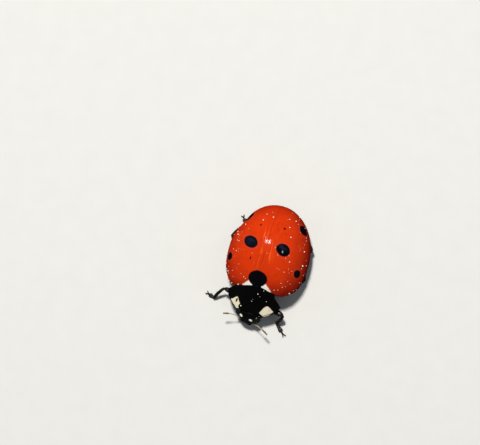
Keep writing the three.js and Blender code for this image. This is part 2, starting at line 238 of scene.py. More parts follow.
def draw_out(bm, path, radii, sides=12, rings=10, flat=1.0, blunt=4.0, up=UP):
    """Adds a closed, round-ended limb along a path.

    radii are its half-thicknesses at the start, in the middle and at the end.
    """
    thick = swelling(*radii)
    for v in bmesh.ops.create_uvsphere(bm, u_segments=sides, v_segments=rings, radius=1)["verts"]:
        t = 0.5 + 0.5 * v.co.z
        ring = hypot(v.co.x, v.co.y)
        across, over = (v.co.x / ring, v.co.y / ring) if ring > 1e-6 else (0, 0)
        reach = thick(t) * max(0.0, 1 - abs(v.co.z) ** blunt) ** (1 / blunt)
        along = (path(min(1, t + 0.02)) - path(max(0, t - 0.02))).normalized()
        side = along.cross(up).normalized()
        top = side.cross(along)
        v.co = path(t) - side * across * reach + top * over * reach * flat


# ---- the forms of the body ----

def shell_half_width(y):
    if y >= 0:
        return HALF_WIDTH * max(0.0, 1 - (y / REAR) ** 2) ** 0.52
    return HALF_WIDTH * max(0.0, 1 - (-y / FRONT) ** 2.6) ** (1 / 3)


def shell_rise(y):
    if y >= CREST_Y:
        return RISE * max(0.0, 1 - ((y - CREST_Y) / (REAR - CREST_Y)) ** 2) ** 0.55
    to_neck = clamp((-1.9 - y) / 0.5)
    arch = sqrt(max(0.0, 1 - ((CREST_Y - y) / CREST_REACH) ** 2))
    return RISE * arch * (1 - 0.07 * to_neck ** 2)


def on_shell(unit):
    """The point of the wing cases' dome that belongs to a point of the unit ball."""
    y = unit.y * (REAR if unit.y > 0 else FRONT)
    angle = atan2(abs(unit.z), abs(unit.x))
    x = shell_half_width(y) * cos(angle) ** 0.9
    z = shell_rise(y) * sin(angle) ** 0.9
    return Vector((copysign(x, unit.x), y, MARGIN_Z + copysign(z, unit.z)))


def outline_normal(x, y):
    """Level direction that points out of the wing cases' outline."""
    reach = REAR if y > 0 else FRONT
    return Vector((x / HALF_WIDTH ** 2, y / reach ** 2, 0)).normalized()


SHIELD_LOW, SHIELD_HIGH = local_span("pronotum")
SHIELD_BACK = SHIELD_HIGH.y
SHIELD_LENGTH = SHIELD_HIGH.y - SHIELD_LOW.y
SHIELD_HALF_WIDTH = 0.995 * (SHIELD_HIGH.x - SHIELD_LOW.x) / 2
SHIELD_FRONT_HALF_WIDTH = 0.46 * SHIELD_HALF_WIDTH
SHIELD_ARCH = 2.0
SHIELD_TURN = Matrix.Rotation(radians(-5), 3, "Z")
SHIELD_PIVOT = Vector((0, SHIELD_BACK - 0.13, 0))
SHIELD_SHIFT = Vector(((SHIELD_LOW.x + SHIELD_HIGH.x) / 2 + 0.04, 0, 0))
UNDER_SHIELD = 0.10  # how far the head and the fore body stay below the shield's top


def shield_height(x, y):
    """Height of the neck shield's upper side."""
    down = SHIELD_BACK - y
    crest = SHIELD_HIGH.z - 0.6 * down - 0.13 * down * down
    return crest - SHIELD_ARCH * (1 - sqrt(max(0.0, 1 - (x / SHIELD_ARCH) ** 2)))


# ---- finishes: shared effects ----

class Bench:
    """Short words for laying out one node tree."""

    def __init__(self, tree):
        self.tree = tree
        self.here = None

    def feed(self, socket, value):
        if isinstance(value, bpy.types.NodeSocket):
            self.tree.links.new(value, socket)
        else:
            socket.default_value = value

    def node(self, kind, inputs=None, **settings):
        made = self.tree.nodes.new(kind)
        for key, value in settings.items():
            setattr(made, key, value)
        for key, value in (inputs or {}).items():
            self.feed(made.inputs[key], value)
        return made

    def maths(self, operation, a, b=0.0, c=0.0):
        return self.node("ShaderNodeMath", {0: a, 1: b, 2: c}, operation=operation).outputs[0]

    def times(self, *shares):
        product = shares[0]
        for share in shares[1:]:
            product = self.maths("MULTIPLY", product, share)
        return product

    def most(self, a, b):
        return self.maths("MAXIMUM", a, b)

    def less(self, a, b):
        return self.maths("SUBTRACT", a, b)

    def size_of(self, a):
        return self.maths("ABSOLUTE", a)

    def vector(self, operation, a, b=(0, 0, 0), out=0):
        return self.node("ShaderNodeVectorMath", {0: a, 1: b}, operation=operation).outputs[out]

    def fade(self, value, low, high, to_low=0.0, to_high=1.0):
        """Runs smoothly from to_low at low to to_high at high."""
        made = self.node("ShaderNodeMapRange", interpolation_type="SMOOTHSTEP")
        for index, number in enumerate((value, low, high, to_low, to_high)):
            self.feed(made.inputs[index], number)
        return made.outputs[0]

    def blend(self, share, a, b):
        made = self.node("ShaderNodeMix", data_type="RGBA")
        for index, value in ((0, share), (6, a), (7, b)):
            self.feed(made.inputs[index], value)
        return made.outputs[2]

    def noise(self, place, scale, detail=2.0, out=0):
        inputs = {"Vector": place, "Scale": scale, "Detail": detail}
        return self.node("ShaderNodeTexNoise", inputs).outputs[out]

    def parts(self, vector):
        return self.node("ShaderNodeSeparateXYZ", {0: vector}).outputs

    def place(self, stretch=(1, 1, 1)):
        """Beetle millimetres at the surface."""
        coordinates = self.node("ShaderNodeTexCoord").outputs["Object"]
        location = Vector([-ORIGIN[k] * stretch[k] for k in range(3)])
        inputs = {"Vector": coordinates, "Location": location, "Scale": Vector(stretch) / MM}
        return self.node("ShaderNodeMapping", inputs).outputs[0]

    def use(self, group, **values):
        """Places a shared effect; an underscore in a name stands for a space."""
        made = self.node("ShaderNodeGroup", node_tree=group)
        for key, value in {"Place": self.here, **values}.items():
            self.feed(made.inputs[key.replace("_", " ")], value)
        return made.outputs

    def spot(self, centre, size, turn=0.0, **edge):
        return self.use(SPOT, Centre=centre, Size=size, Turn=turn, **edge)["Mask"]

    def patch(self, **shape):
        return self.use(PATCH, **shape)["Mask"]

    def mottle(self, spacing, contrast=1.0, stretch=None):
        place = self.place(stretch) if stretch else self.here
        return self.use(MOTTLE, Place=place, Spacing=spacing, Contrast=contrast)["Value"]

    def rub(self, roughness, slow, grain):
        return self.use(RUB, Roughness=roughness, Slow=slow, Grain=grain)["Roughness"]

    def gloss_by_angle(self, face_on, at_rim):
        """Coat weight that fades where the surface turns away from the eye."""
        facing = self.node("ShaderNodeLayerWeight", {"Blend": 0.5}).outputs["Facing"]
        return self.fade(facing, 0.25, 0.72, face_on, at_rim)

    def press_in(self, height, depth, under=None):
        """Bump from a height of 0 to 1, depth in millimetres."""
        inputs = {"Height": height, "Distance": depth * MM, "Strength": 1.0}
        if under is not None:
            inputs["Normal"] = under
        return self.node("ShaderNodeBump", inputs).outputs[0]


def shared_effect(name, lay_out, outputs, **inputs):
    """Makes a node group. lay_out returns the outputs' sockets; inputs give each default."""
    group = bpy.data.node_groups.new(name, "ShaderNodeTree")
    for label, default in {"Place": (0, 0, 0), **inputs}.items():
        kind = "NodeSocketVector" if isinstance(default, tuple) else "NodeSocketFloat"
        label = label.replace("_", " ")
        socket = group.interface.new_socket(name=label, in_out="INPUT", socket_type=kind)
        socket.default_value = default
    for label in outputs:
        group.interface.new_socket(name=label, in_out="OUTPUT", socket_type="NodeSocketFloat")
    bench = Bench(group)
    entry = bench.node("NodeGroupInput").outputs
    way_out = bench.node("NodeGroupOutput")
    for index, socket in enumerate(lay_out(bench, entry)):
        bench.feed(way_out.inputs[index], socket)
    return group


def from_centre(b, i, raggedness):
    """The place, shaken a little for a ragged edge, measured from a centre and turned."""
    ragged = b.noise(i["Place"], raggedness, out=1)
    shift = b.vector("SCALE", b.vector("SUBTRACT", ragged, (0.5, 0.5, 0.5)))
    b.feed(shift.node.inputs["Scale"], i["Ragged"])
    offset = b.vector("SUBTRACT", b.vector("ADD", i["Place"], shift), i["Centre"])
    inputs = {"Vector": offset, "Angle": i["Turn"]}
    return b.node("ShaderNodeVectorRotate", inputs, rotation_type="Z_AXIS").outputs[0]


def spot_layout(b, i):
    reach = b.vector("LENGTH", b.vector("DIVIDE", from_centre(b, i, 2.2), i["Size"]), out=1)
    inner = b.less(1.0, i["Edge"])
    outer = b.maths("ADD", 1.0, i["Edge"])
    return b.fade(reach, outer, inner), b.fade(reach, 1.5, 1.0)


def patch_layout(b, i):
    along, across, _ = b.parts(from_centre(b, i, 3.0))
    along = b.maths("MULTIPLY_ADD", across, i["Slant"], along)
    over_x = b.less(b.size_of(along), i["Half length"])
    over_y = b.less(b.size_of(across), i["Half width"])
    outside = b.maths("SMOOTH_MAX", over_x, over_y, i["Corner"])
    return (b.fade(outside, 0.02, -0.02),)


def pinprick_layout(b, i):
    inputs = {"Vector": i["Place"], "Scale": b.maths("DIVIDE", 1.0, i["Spacing"]), "Randomness": 0.75}
    cells = b.node("ShaderNodeTexVoronoi", inputs).outputs["Distance"]
    return (b.fade(cells, b.times(i["Size"], 0.35), i["Size"]),)


def mottle_layout(b, i):
    coarse = b.noise(i["Place"], b.maths("DIVIDE", 1.0, i["Spacing"]), 3.0)
    return (b.maths("MULTIPLY_ADD", b.less(coarse, 0.5), i["Contrast"], 0.5),)


def rub_layout(b, i):
    """Fine dust and handling: a slow change of roughness with a grain in it."""
    slow = b.noise(i["Place"], 1.3, 3.0)
    grain = b.noise(i["Place"], 22.0)
    mixed = b.maths("MULTIPLY_ADD", b.less(slow, 0.5), i["Slow"], i["Roughness"])
    return (b.maths("MULTIPLY_ADD", b.less(grain, 0.5), i["Grain"], mixed),)


SPOT = shared_effect(
    "painted spot", spot_layout, ["Mask", "Halo"],
    Centre=(0, 0, 0), Size=(0.4, 0.4, 0.4), Turn=0.0, Ragged=0.12, Edge=0.07,
)
PATCH = shared_effect(
    "four-sided patch", patch_layout, ["Mask"],
    Centre=(0, 0, 0), Turn=0.0, Half_length=0.3, Half_width=0.2, Slant=0.0, Corner=0.1, Ragged=0.08,
)
PINPRICKS = shared_effect("pinprick pits", pinprick_layout, ["Height"], Spacing=0.09, Size=0.3)
MOTTLE = shared_effect("soft mottle", mottle_layout, ["Value"], Spacing=1.0, Contrast=1.0)
RUB = shared_effect("rubbed shine", rub_layout, ["Roughness"], Roughness=0.3, Slow=0.15, Grain=0.1)


# ---- finishes: materials ----

SHELL_ORANGE = (0.585, 0.034, 0.003, 1)
SHELL_RED = (0.27, 0.007, 0.002, 1)
SHELL_EDGE = (0.07, 0.007, 0.003, 1)
STREAK_HIGHLIGHT_ORANGE = (0.90, 0.16, 0.03, 1)
PALE_MARK = (0.95, 0.42, 0.30, 1)
HALO_RED = (0.50, 0.05, 0.03, 1)
SPOT_BLACK = (0.0022, 0.0022, 0.003, 1)
SPOT_REFLECTED_BLUE = (0.008, 0.012, 0.028, 1)
IVORY = (0.98, 0.95, 0.84, 1)
SHIELD_BLACK = (0.0018, 0.0018, 0.002, 1)
CREAM = (0.92, 0.84, 0.62, 1)
AGED_CREAM = (0.55, 0.48, 0.32, 1)
GROOVE_SHADE_BROWN = (0.14, 0.12, 0.09, 1)
BROW_CREAM = (0.90, 0.86, 0.74, 1)
BELLY_BLACK = (0.007, 0.006, 0.006, 1)
BELLY_BROWN = (0.016, 0.012, 0.010, 1)
EYE_BLACK = (0.004, 0.004, 0.005, 1)
EYE_GREY = (0.03, 0.032, 0.036, 1)
LEG_BLACK = (0.006, 0.005, 0.005, 1)
LEG_BROWN = (0.012, 0.009, 0.008, 1)
FOOT_BROWN = (0.022, 0.013, 0.009, 1)
CLAW_BROWN = (0.12, 0.05, 0.02, 1)
DARK_BROWN = (0.05, 0.022, 0.012, 1)
RED_BROWN = (0.16, 0.07, 0.03, 1)
TAN = (0.36, 0.26, 0.12, 1)
PALE_TAN = (0.58, 0.47, 0.28, 1)
CLUB_BROWN = (0.10, 0.06, 0.03, 1)
CLUB_TAN = (0.22, 0.13, 0.06, 1)
HAIR_GREY = (0.26, 0.22, 0.16, 1)
PALE_HAIR = (0.40, 0.35, 0.27, 1)
HAIR_BROWN = (0.07, 0.05, 0.03, 1)
HAIR_TAN = (0.20, 0.14, 0.07, 1)
POLLEN_YELLOW = (0.92, 0.86, 0.66, 1)
POLLEN_WHITE = (0.97, 0.95, 0.86, 1)

# How the streaks (painted highlight streaks, and patchier gloss), the pale fine marks and the slow
# swell of the wing cases are drawn out along the body.
STREAK_STRETCH = (1.0, 0.06, 0.3)
PALE_MARK_STRETCH = (1.0, 0.14, 1.0)
SWOLLEN = (1.0, 0.25, 1.0)
SWELL_DEPTH, SHIELD_SWELL = 0.022, 0.02
HALO_STRENGTH, FLECK_STRENGTH, STREAK_HIGHLIGHT_STRENGTH, GROOVE_SHADE_STRENGTH = 0.35, 0.85, 0.75, 0.8

# Three spots on each wing case: centre, half-sizes and turn.
WING_SPOTS = [
    ((1.07, 0.15, 3.42), (0.46, 0.38, 0.6), 0.28),
    ((1.80, 1.90, 2.15), (0.33, 0.36, 0.5), -0.5),
    ((2.17, -0.90, 2.35), (0.30, 0.25, 0.34), 0.0),
    ((-1.045, 0.16, 3.42), (0.50, 0.355, 0.6), 0.38),
    ((-1.75, 1.91, 2.2), (0.36, 0.38, 0.5), 0.5),
    ((-2.17, -0.90, 2.35), (0.30, 0.25, 0.34), 0.0),
]
SCUTELLAR_SPOT = ((-0.03, -1.93, 3.0), (0.61, 0.5, 0.7))
# Where the two big spots show a painted reflection of a blue sky.
SKY_REFLECTIONS_ON_SPOTS = [
    ((-1.06, 0.16, 3.42), (0.36, 0.23, 0.5), 0.38),
    ((1.00, 0.30, 3.42), (0.28, 0.13, 0.5), 0.28),
]
FLECKS = [
    ((-0.74, 1.37, 3.34), (0.075, 0.06, 0.2)),
    ((0.77, 1.52, 3.28), (0.085, 0.07, 0.2)),
    ((-0.78, -0.85, 3.39), (0.05, 0.10, 0.2)),
]
# The black beside the scutellum, and the cream triangle on each side of it.
NECK_BLACK = dict(
    Centre=(0, -2.42, 2.8), Half_length=0.30, Half_width=0.24, Corner=0.06, Ragged=0.03
)
TRIANGLE = dict(Half_length=0.32, Half_width=0.28, Corner=0.05, Ragged=0.05)
TRIANGLE_X, TRIANGLE_Y, TRIANGLE_Z, TRIANGLE_TURN = 0.60, -2.36, 2.6, -0.12
TRIANGLE_END, TRIANGLE_SLOPE = -1.73, -0.75  # its slanting hind edge at the seam

# The cream corners of the neck shield, and what is black in them.
LEFT_CORNER = dict(
    Centre=(0.87, -3.62, 1.5), Turn=-0.85, Half_length=0.33, Half_width=0.23,
    Slant=0.31, Corner=0.14, Ragged=0.14,
)
RIGHT_CORNER = dict(
    Centre=(-1.14, -3.58, 1.5), Turn=1.0, Half_length=0.38, Half_width=0.26,
    Slant=-0.2, Corner=0.12, Ragged=0.10,
)
CORNER_BEAD = ((-1.12, -3.37, 1.7), (0.065, 0.13, 0.3), 0.25)
CORNER_BITE = ((-0.74, -3.68, 1.5), (0.20, 0.19, 0.4))
BROW_SPOTS = [
    ((-0.63, -4.17, 1.20), (0.12, 0.058, 0.4), 0.62),
    ((0.04, -4.33, 1.10), (0.115, 0.058, 0.4), 0.05),
]
# The cream plates beside the middle legs, given for the left side.
BELLY_PLATE = dict(
    Centre=(1.72, -1.62, 0.9), Turn=0.5, Half_length=0.24, Half_width=0.17, Corner=0.06, Ragged=0.06
)


def start_finish(name, **shine):
    """A new material with its shader; shine sets plain numbers on the shader's own sockets."""
    material = bpy.data.materials.new(name)
    material.use_nodes = True
    bench = Bench(material.node_tree)
    bench.here = bench.place()
    shader = material.node_tree.nodes["Principled BSDF"]
    for key, value in shine.items():
        shader.inputs[key.replace("_", " ")].default_value = value
    return material, bench, shader.inputs


def dress(b, shader, colour, rub, pits, under=None):
    """Feeds a shader. rub is (roughness, slow, grain); pits are (spacing, size, depth)."""
    spacing, size, depth = pits
    pricks = b.use(PINPRICKS, Spacing=spacing, Size=size)["Height"]
    b.feed(shader["Base Color"], colour)
    b.feed(shader["Roughness"], b.rub(*rub))
    b.feed(shader["Normal"], b.press_in(pricks, depth, under))


def shell_ground(b, z):
    """Orange on top and red towards the margin, cloudy and finely mottled; the lighter top and the
    darker margin are painted light and shade.
    """
    # Painted light and shade: lighter orange high on the dome, darker red low down by the margin.
    lift = b.fade(z, MARGIN_Z, MARGIN_Z + RISE * 0.92)
    warm = b.maths("ADD", lift, b.less(b.mottle(1.3, 0.8), 0.5))
    colour = b.blend(warm, SHELL_RED, SHELL_ORANGE)
    return b.blend(b.fade(b.mottle(0.22, 1.2), 0.5, 0.95, 0.0, 0.4), colour, SHELL_RED)


def paint_streak_highlights_and_marks(b, colour, streak_pattern, off_seam, y, z):
    """Painted highlight streaks beside the seam, and pale fine marks on the upper flanks."""
    by_seam = b.times(b.fade(off_seam, 0.9, 0.1), b.fade(b.size_of(y), 1.8, 0.6))
    # Painted highlight: lighter orange streaks beside the seam, where the key light's shine falls.
    streak_highlight = b.times(b.fade(streak_pattern, 0.52, 0.74), by_seam)
    colour = b.blend(b.times(streak_highlight, STREAK_HIGHLIGHT_STRENGTH), colour, STREAK_HIGHLIGHT_ORANGE)
    # Pale fine marks, stretched along the body, painted on the upper flanks.
    pale_marks = b.fade(b.mottle(0.085, stretch=PALE_MARK_STRETCH), 0.655, 0.70)
    pale_marks = b.times(pale_marks, b.fade(off_seam, 1.2, 1.7))
    pale_marks = b.times(pale_marks, b.fade(z, MARGIN_Z + 0.9, MARGIN_Z + 1.5, 0.0, 0.45))
    return b.blend(pale_marks, colour, PALE_MARK)


def shell_edges(b, colour, off_seam, z):
    """A darker line along the seam and the rim."""
    seam = b.fade(off_seam, 0.025, 0.006)
    rim = b.fade(z, MARGIN_Z + 0.10, MARGIN_Z + 0.02)
    under = b.fade(z, MARGIN_Z - 0.03, MARGIN_Z - 0.06)
    rim = b.less(rim, b.times(under, 0.75))
    return b.blend(b.most(b.times(seam, 0.1), rim), colour, SHELL_EDGE)


def wing_spots(b):
    """Where the wing cases are black, and the red halo round each spot."""
    dark = halo = 0.0
    for centre, size, turn in WING_SPOTS:
        made = b.use(SPOT, Centre=centre, Size=size, Turn=turn)
        dark = b.most(dark, made["Mask"])
        halo = b.most(halo, made["Halo"])
    for centre, size in FLECKS:
        fleck = b.spot(centre, size, Ragged=0.03, Edge=0.3)
        dark = b.most(dark, b.times(fleck, FLECK_STRENGTH))
    root = b.most(b.spot(*SCUTELLAR_SPOT, Edge=0.05, Ragged=0.08), b.patch(**NECK_BLACK))
    return b.most(dark, root), halo


def triangles(b, colour, off_seam, y):
    for side in SIDES.values():
        centre = (side * TRIANGLE_X, TRIANGLE_Y, TRIANGLE_Z)
        mask = b.patch(Centre=centre, Turn=side * TRIANGLE_TURN, **TRIANGLE)
        ahead = b.less(TRIANGLE_END, y)
        slant = b.fade(b.maths("MULTIPLY_ADD", off_seam, TRIANGLE_SLOPE, ahead), -0.05, 0.06)
        colour = b.blend(b.times(mask, slant), colour, IVORY)
    return colour


def spot_paint(b):
    """Black, with a clouded, painted blue sky reflection on the two big spots."""
    blue = 0.0
    for centre, size, turn in SKY_REFLECTIONS_ON_SPOTS:
        # Painted reflection of the sky, clouded by a mottle.
        blue = b.most(blue, b.spot(centre, size, turn, Edge=0.5))
    blue = b.times(blue, b.fade(b.mottle(0.3, 1.2), 0.25, 0.6, 0.3, 1.0))
    return b.blend(blue, SPOT_BLACK, SPOT_REFLECTED_BLUE)


def paint_wing_case():
    material, b, shader = start_finish(
        "wing case", IOR=1.3, Specular_IOR_Level=0.0, Coat_Roughness=0.07, Coat_IOR=1.5
    )
    x, y, z = b.parts(b.here)
    off_seam = b.size_of(x)
    # A streak pattern: it paints highlight streaks into the colour and makes the coat's gloss patchier.
    streak_pattern = b.mottle(0.08, 1.2, stretch=STREAK_STRETCH)
    dark, halo = wing_spots(b)
    colour = paint_streak_highlights_and_marks(b, shell_ground(b, z), streak_pattern, off_seam, y, z)
    colour = triangles(b, shell_edges(b, colour, off_seam, z), off_seam, y)
    colour = b.blend(b.times(halo, HALO_STRENGTH), colour, HALO_RED)
    colour = b.blend(dark, colour, spot_paint(b))
    swell = b.press_in(b.noise(b.place(SWOLLEN), 2.4), SWELL_DEPTH)
    dress(b, shader, colour, rub=(0.34, 0.2, 0.12), pits=(0.05, 0.34, 0.0009), under=swell)
    gloss = b.times(b.rub(0.55, 0.3, 0.12), b.fade(streak_pattern, 0.40, 0.70, 1.0, 0.25))
    b.feed(shader["Coat Weight"], b.times(gloss, b.gloss_by_angle(1.0, 0.15)))
    return material, "wing_case_red"


def paint_shield():
    material, b, shader = start_finish(
        "neck shield", IOR=1.3, Specular_IOR_Level=0.0, Coat_Roughness=0.1, Coat_IOR=1.45
    )
    rim = b.node("ShaderNodeAttribute", attribute_name="edge").outputs["Fac"]
    left = b.patch(**LEFT_CORNER)
    right = b.times(b.patch(**RIGHT_CORNER), b.fade(rim, 0.06, 0.09))
    bead = b.spot(*CORNER_BEAD, Ragged=0.04, Edge=0.2)
    bite = b.spot(*CORNER_BITE, Ragged=0.06, Edge=0.12)
    cream = b.times(b.most(left, right), b.less(1.0, bead), b.less(1.0, bite))
    cream = b.times(cream, b.fade(rim, 0.012, 0.035))
    # Painted shade of a groove: a brown line in the left cream corner, parallel to the edge and a
    # little inside it.
    groove_shade = b.times(b.fade(rim, 0.045, 0.07), b.fade(rim, 0.15, 0.125), left)
    pale = b.blend(b.fade(b.mottle(0.25), 0.4, 0.75, 0.0, 0.35), CREAM, AGED_CREAM)
    pale = b.blend(b.times(groove_shade, GROOVE_SHADE_STRENGTH), pale, GROOVE_SHADE_BROWN)
    colour = b.blend(cream, SHIELD_BLACK, pale)
    swell = b.press_in(b.noise(b.here, 2.5), SHIELD_SWELL)
    dress(b, shader, colour, rub=(0.32, 0.15, 0.15), pits=(0.055, 0.32, 0.0018), under=swell)
    b.feed(shader["Coat Weight"], b.times(b.rub(0.5, 0.4, 0.4), b.gloss_by_angle(1.0, 0.1)))
    return material, "shell_black"


def paint_head():
    material, b, shader = start_finish(
        "head", IOR=1.3, Specular_IOR_Level=0.15, Coat_Roughness=0.1, Coat_IOR=1.5
    )
    brows = 0.0
    for centre, size, turn in BROW_SPOTS:
        brows = b.most(brows, b.spot(centre, size, turn, Ragged=0.03, Edge=0.1))
    colour = b.blend(brows, SHIELD_BLACK, BROW_CREAM)
    dress(b, shader, colour, rub=(0.36, 0.1, 0.15), pits=(0.042, 0.36, 0.0025))
    b.feed(shader["Coat Weight"], b.gloss_by_angle(0.6, 0.12))
    return material, "shell_black"


def paint_belly():
    material, b, shader = start_finish(
        "belly", Specular_IOR_Level=0.25, Coat_Weight=0.12, Coat_Roughness=0.2, IOR=1.4
    )
    x, y, z = b.parts(b.here)
    off_middle = b.size_of(x)
    mirrored = b.node("ShaderNodeCombineXYZ", {0: off_middle, 1: y, 2: z}).outputs[0]
    black = b.blend(b.fade(b.mottle(0.4, 1.6), 0.2, 0.8), BELLY_BLACK, BELLY_BROWN)
    colour = b.blend(b.patch(Place=mirrored, **BELLY_PLATE), black, CREAM)
    line = b.press_in(b.fade(off_middle, 0.0, 0.03), 0.02)
    dress(b, shader, colour, rub=(0.42, 0.15, 0.2), pits=(0.07, 0.38, 0.004), under=line)
    return material, "belly_black"


def paint_eye():
    material, b, shader = start_finish("eye", Coat_Weight=0.6, Coat_Roughness=0.08, IOR=1.5)
    facets = {"Vector": b.here, "Scale": 32.0, "Randomness": 0.15}
    dome = b.fade(b.node("ShaderNodeTexVoronoi", facets).outputs["Distance"], 0.5, 0.0)
    b.feed(shader["Base Color"], b.blend(dome, EYE_BLACK, EYE_GREY))
    b.feed(shader["Roughness"], b.rub(0.25, 0.1, 0.1))
    b.feed(shader["Normal"], b.press_in(dome, 0.008))
    return material, "eye_black"


def paint_plain(name, slot, colour, second, mottle, rough, pit_size, pit_depth, coat=0.2):
    """A finish of two mottled colours with fine pits."""
    material, b, shader = start_finish(name, Specular_IOR_Level=0.3, Coat_Roughness=0.15, IOR=1.4)
    mixed = b.blend(b.fade(b.mottle(mottle, 1.6), 0.2, 0.8), colour, second)
    dress(b, shader, mixed, rub=(rough, 0.15, 0.2), pits=(pit_size, 0.4, pit_depth))
    b.feed(shader["Coat Weight"], b.gloss_by_angle(coat, coat * 0.2))
    return material, slot


WING_CASE = paint_wing_case()
SHIELD = paint_shield()
HEAD = paint_head()
BELLY = paint_belly()
EYE = paint_eye()
LEG = paint_plain("leg", "leg_black", LEG_BLACK, LEG_BROWN, 0.3, 0.3, 0.05, 0.004, coat=0.4)
FOOT = paint_plain("foot", "leg_black", LEG_BLACK, FOOT_BROWN, 0.2, 0.4, 0.04, 0.004)
CLAW = paint_plain("claw", "leg_black", FOOT_BROWN, CLAW_BROWN, 0.1, 0.3, 0.05, 0.002, coat=0.4)
MOUTH = paint_plain("mouthparts", "mouth_brown", DARK_BROWN, RED_BROWN, 0.15, 0.4, 0.04, 0.003)
LIP = (MOUTH[0], "shell_black")
FEELER = paint_plain("feeler", "feeler_tan", TAN, PALE_TAN, 0.15, 0.4, 0.03, 0.003)
CLUB = paint_plain("feeler club", "feeler_tan", CLUB_BROWN, CLUB_TAN, 0.12, 0.5, 0.02, 0.003)
BRISTLE = paint_plain("bristle", "feeler_tan", HAIR_GREY, PALE_HAIR, 0.3, 0.5, 0.05, 0.001)
LEG_BRISTLE = paint_plain("leg bristle", "feeler_tan", HAIR_BROWN, HAIR_TAN, 0.3, 0.5, 0.05, 0.001)
POLLEN = paint_plain("pollen", "feeler_tan", POLLEN_YELLOW, POLLEN_WHITE, 0.05, 0.5, 0.012, 0.002)


# ---- wing cases ----

SHELL_CUTS = 19
SEAM = 0.0015  # half the gap between the wing cases
SEAM_GROOVE = 0.028
SEAM_DEPTH = 0.003
SHELL_WALL = 0.05
BASE_Y = SHELL_LOW.y - ORIGIN.y - 0.04
# Loop by loop round the edge of a wing case: out and up along the margin, in and back at the base.
MARGIN_STEPS = ((0.045, -0.012), (-0.02, -0.045), (-0.30, -0.035), (-0.12, 0.02))
BASE_STEPS = ((0.01, -0.02), (0.06, 0.0), (0.25, 0.02), (0.30, 0.06))
# The shoulder bump: where, how wide and how high.
CALLUS_X, CALLUS_Y, CALLUS_WIDTH, CALLUS_RISE = 1.62, -1.95, 0.3, 0.05
# The right wing case is a little flatter towards the tail: where, how far along and how deep.
FLAT_Y, FLAT_REACH, FLAT_DEPTH = 1.6, 0.75, 0.16
# Its shoulder is a little fuller: where, how far along and how much.
SHOULDER_Y, SHOULDER_REACH, SHOULDER = -2.2, 0.3, 0.09


def epipleuron_share(y):
    """The turned-under rim is broad at the shoulders and narrows to the tail."""
    return 0.35 + 0.85 * clamp((REAR - y) / (REAR + 0.6 * FRONT))


def cut_dome(side):
    """One half of the wing cases' dome, with extra loops where it bends sharply."""
    bm = quad_ball(SHELL_CUTS)
    cut(bm, Vector(), -UP, drop=True)
    cut(bm, Vector(), Vector((-side, 0, 0)), drop=True)
    for v in bm.verts:
        v.co = on_shell(v.co)
    cut(bm, Vector((0, BASE_Y, 0)), AHEAD, drop=True)
    cut(bm, Vector((0, BASE_Y + 0.04, 0)), AHEAD)
    for reach in (0.006, SEAM_GROOVE, 0.12):
        cut(bm, Vector((side * reach, 0, 0)), Vector((side, 0, 0)))
    for height in (0.05, 0.14):
        cut(bm, Vector((0, 0, MARGIN_Z + height)), UP)
    return bm


def model_shell(place, side):
    """Works the seam, the shoulder, the base and the flared margin into one point of the dome."""
    place.z -= SEAM_DEPTH * max(0.0, 1 - abs(place.x) / SEAM_GROOVE) ** 2
    place.x = side * max(SEAM, abs(place.x))
    callus = Vector((abs(place.x) - CALLUS_X, place.y - CALLUS_Y, 0)).length
    place.z += CALLUS_RISE * bell(callus, CALLUS_WIDTH)
    low = max(0.0, 1 - (place.z - MARGIN_Z) / 0.3)
    ahead = clamp((BASE_Y + 0.7 - place.y) / 0.7)
    place.y += ahead * (0.22 * max(0.0, 1 - (place.z - MARGIN_Z) / 0.55) ** 2 - 0.05)
    place -= outline_normal(place.x, place.y) * 0.035 * low * (1 - low) * 4
    if side < 0:
        outer = min(1.0, abs(place.x) / max(0.1, shell_half_width(place.y)))
        dip = FLAT_DEPTH * outer ** 4 * bell(place.y - FLAT_Y, FLAT_REACH)
        full = SHOULDER * outer ** 4 * bell(place.y - SHOULDER_Y, SHOULDER_REACH)
        place += outline_normal(place.x, place.y) * (full - dip)
    return place


def turn_under(bm, side, on_base, on_margin):
    """Rolls the margin in to the belly and the base in to the neck, loop by loop."""
    loop = [
        e for e in bm.edges
        if e.is_boundary and all(v[on_base] + v[on_margin] > 0.5 for v in e.verts)
    ]
    for (out, up), (inwards, back) in zip(MARGIN_STEPS, BASE_STEPS):
        corners, loop = next_loop(bm, loop)
        for v in corners:
            share = epipleuron_share(v.co.y) if out < -0.1 else 1.0
            move = (outline_normal(v.co.x, v.co.y) * out * share + UP * up) * v[on_margin]
            to_neck = Vector((-v.co.x, 0, 1.5 - v.co.z)).normalized()
            move += (to_neck * inwards + Vector((0, back, 0))) * v[on_base]
            v.co += move
            v.co.x = side * max(SEAM, v.co.x * side)


def make_wing_case(name, side):
    bm = cut_dome(side)
    on_base = bm.verts.layers.float.new("on_base")
    on_margin = bm.verts.layers.float.new("on_margin")
    for v in bm.verts:
        v[on_base] = float(v.co.y < BASE_Y + NEAR)
        v[on_margin] = float(v.co.z < MARGIN_Z + NEAR)
        v.co = model_shell(v.co.copy(), side)
    turn_under(bm, side, on_base, on_margin)
    face_upwards(bm)
    return settle(bm, name, WING_CASE, levels=2, wall=SHELL_WALL, closed=False)


WING_CASES = [make_wing_case(f"elytron_{name}", side) for name, side in SIDES.items()]


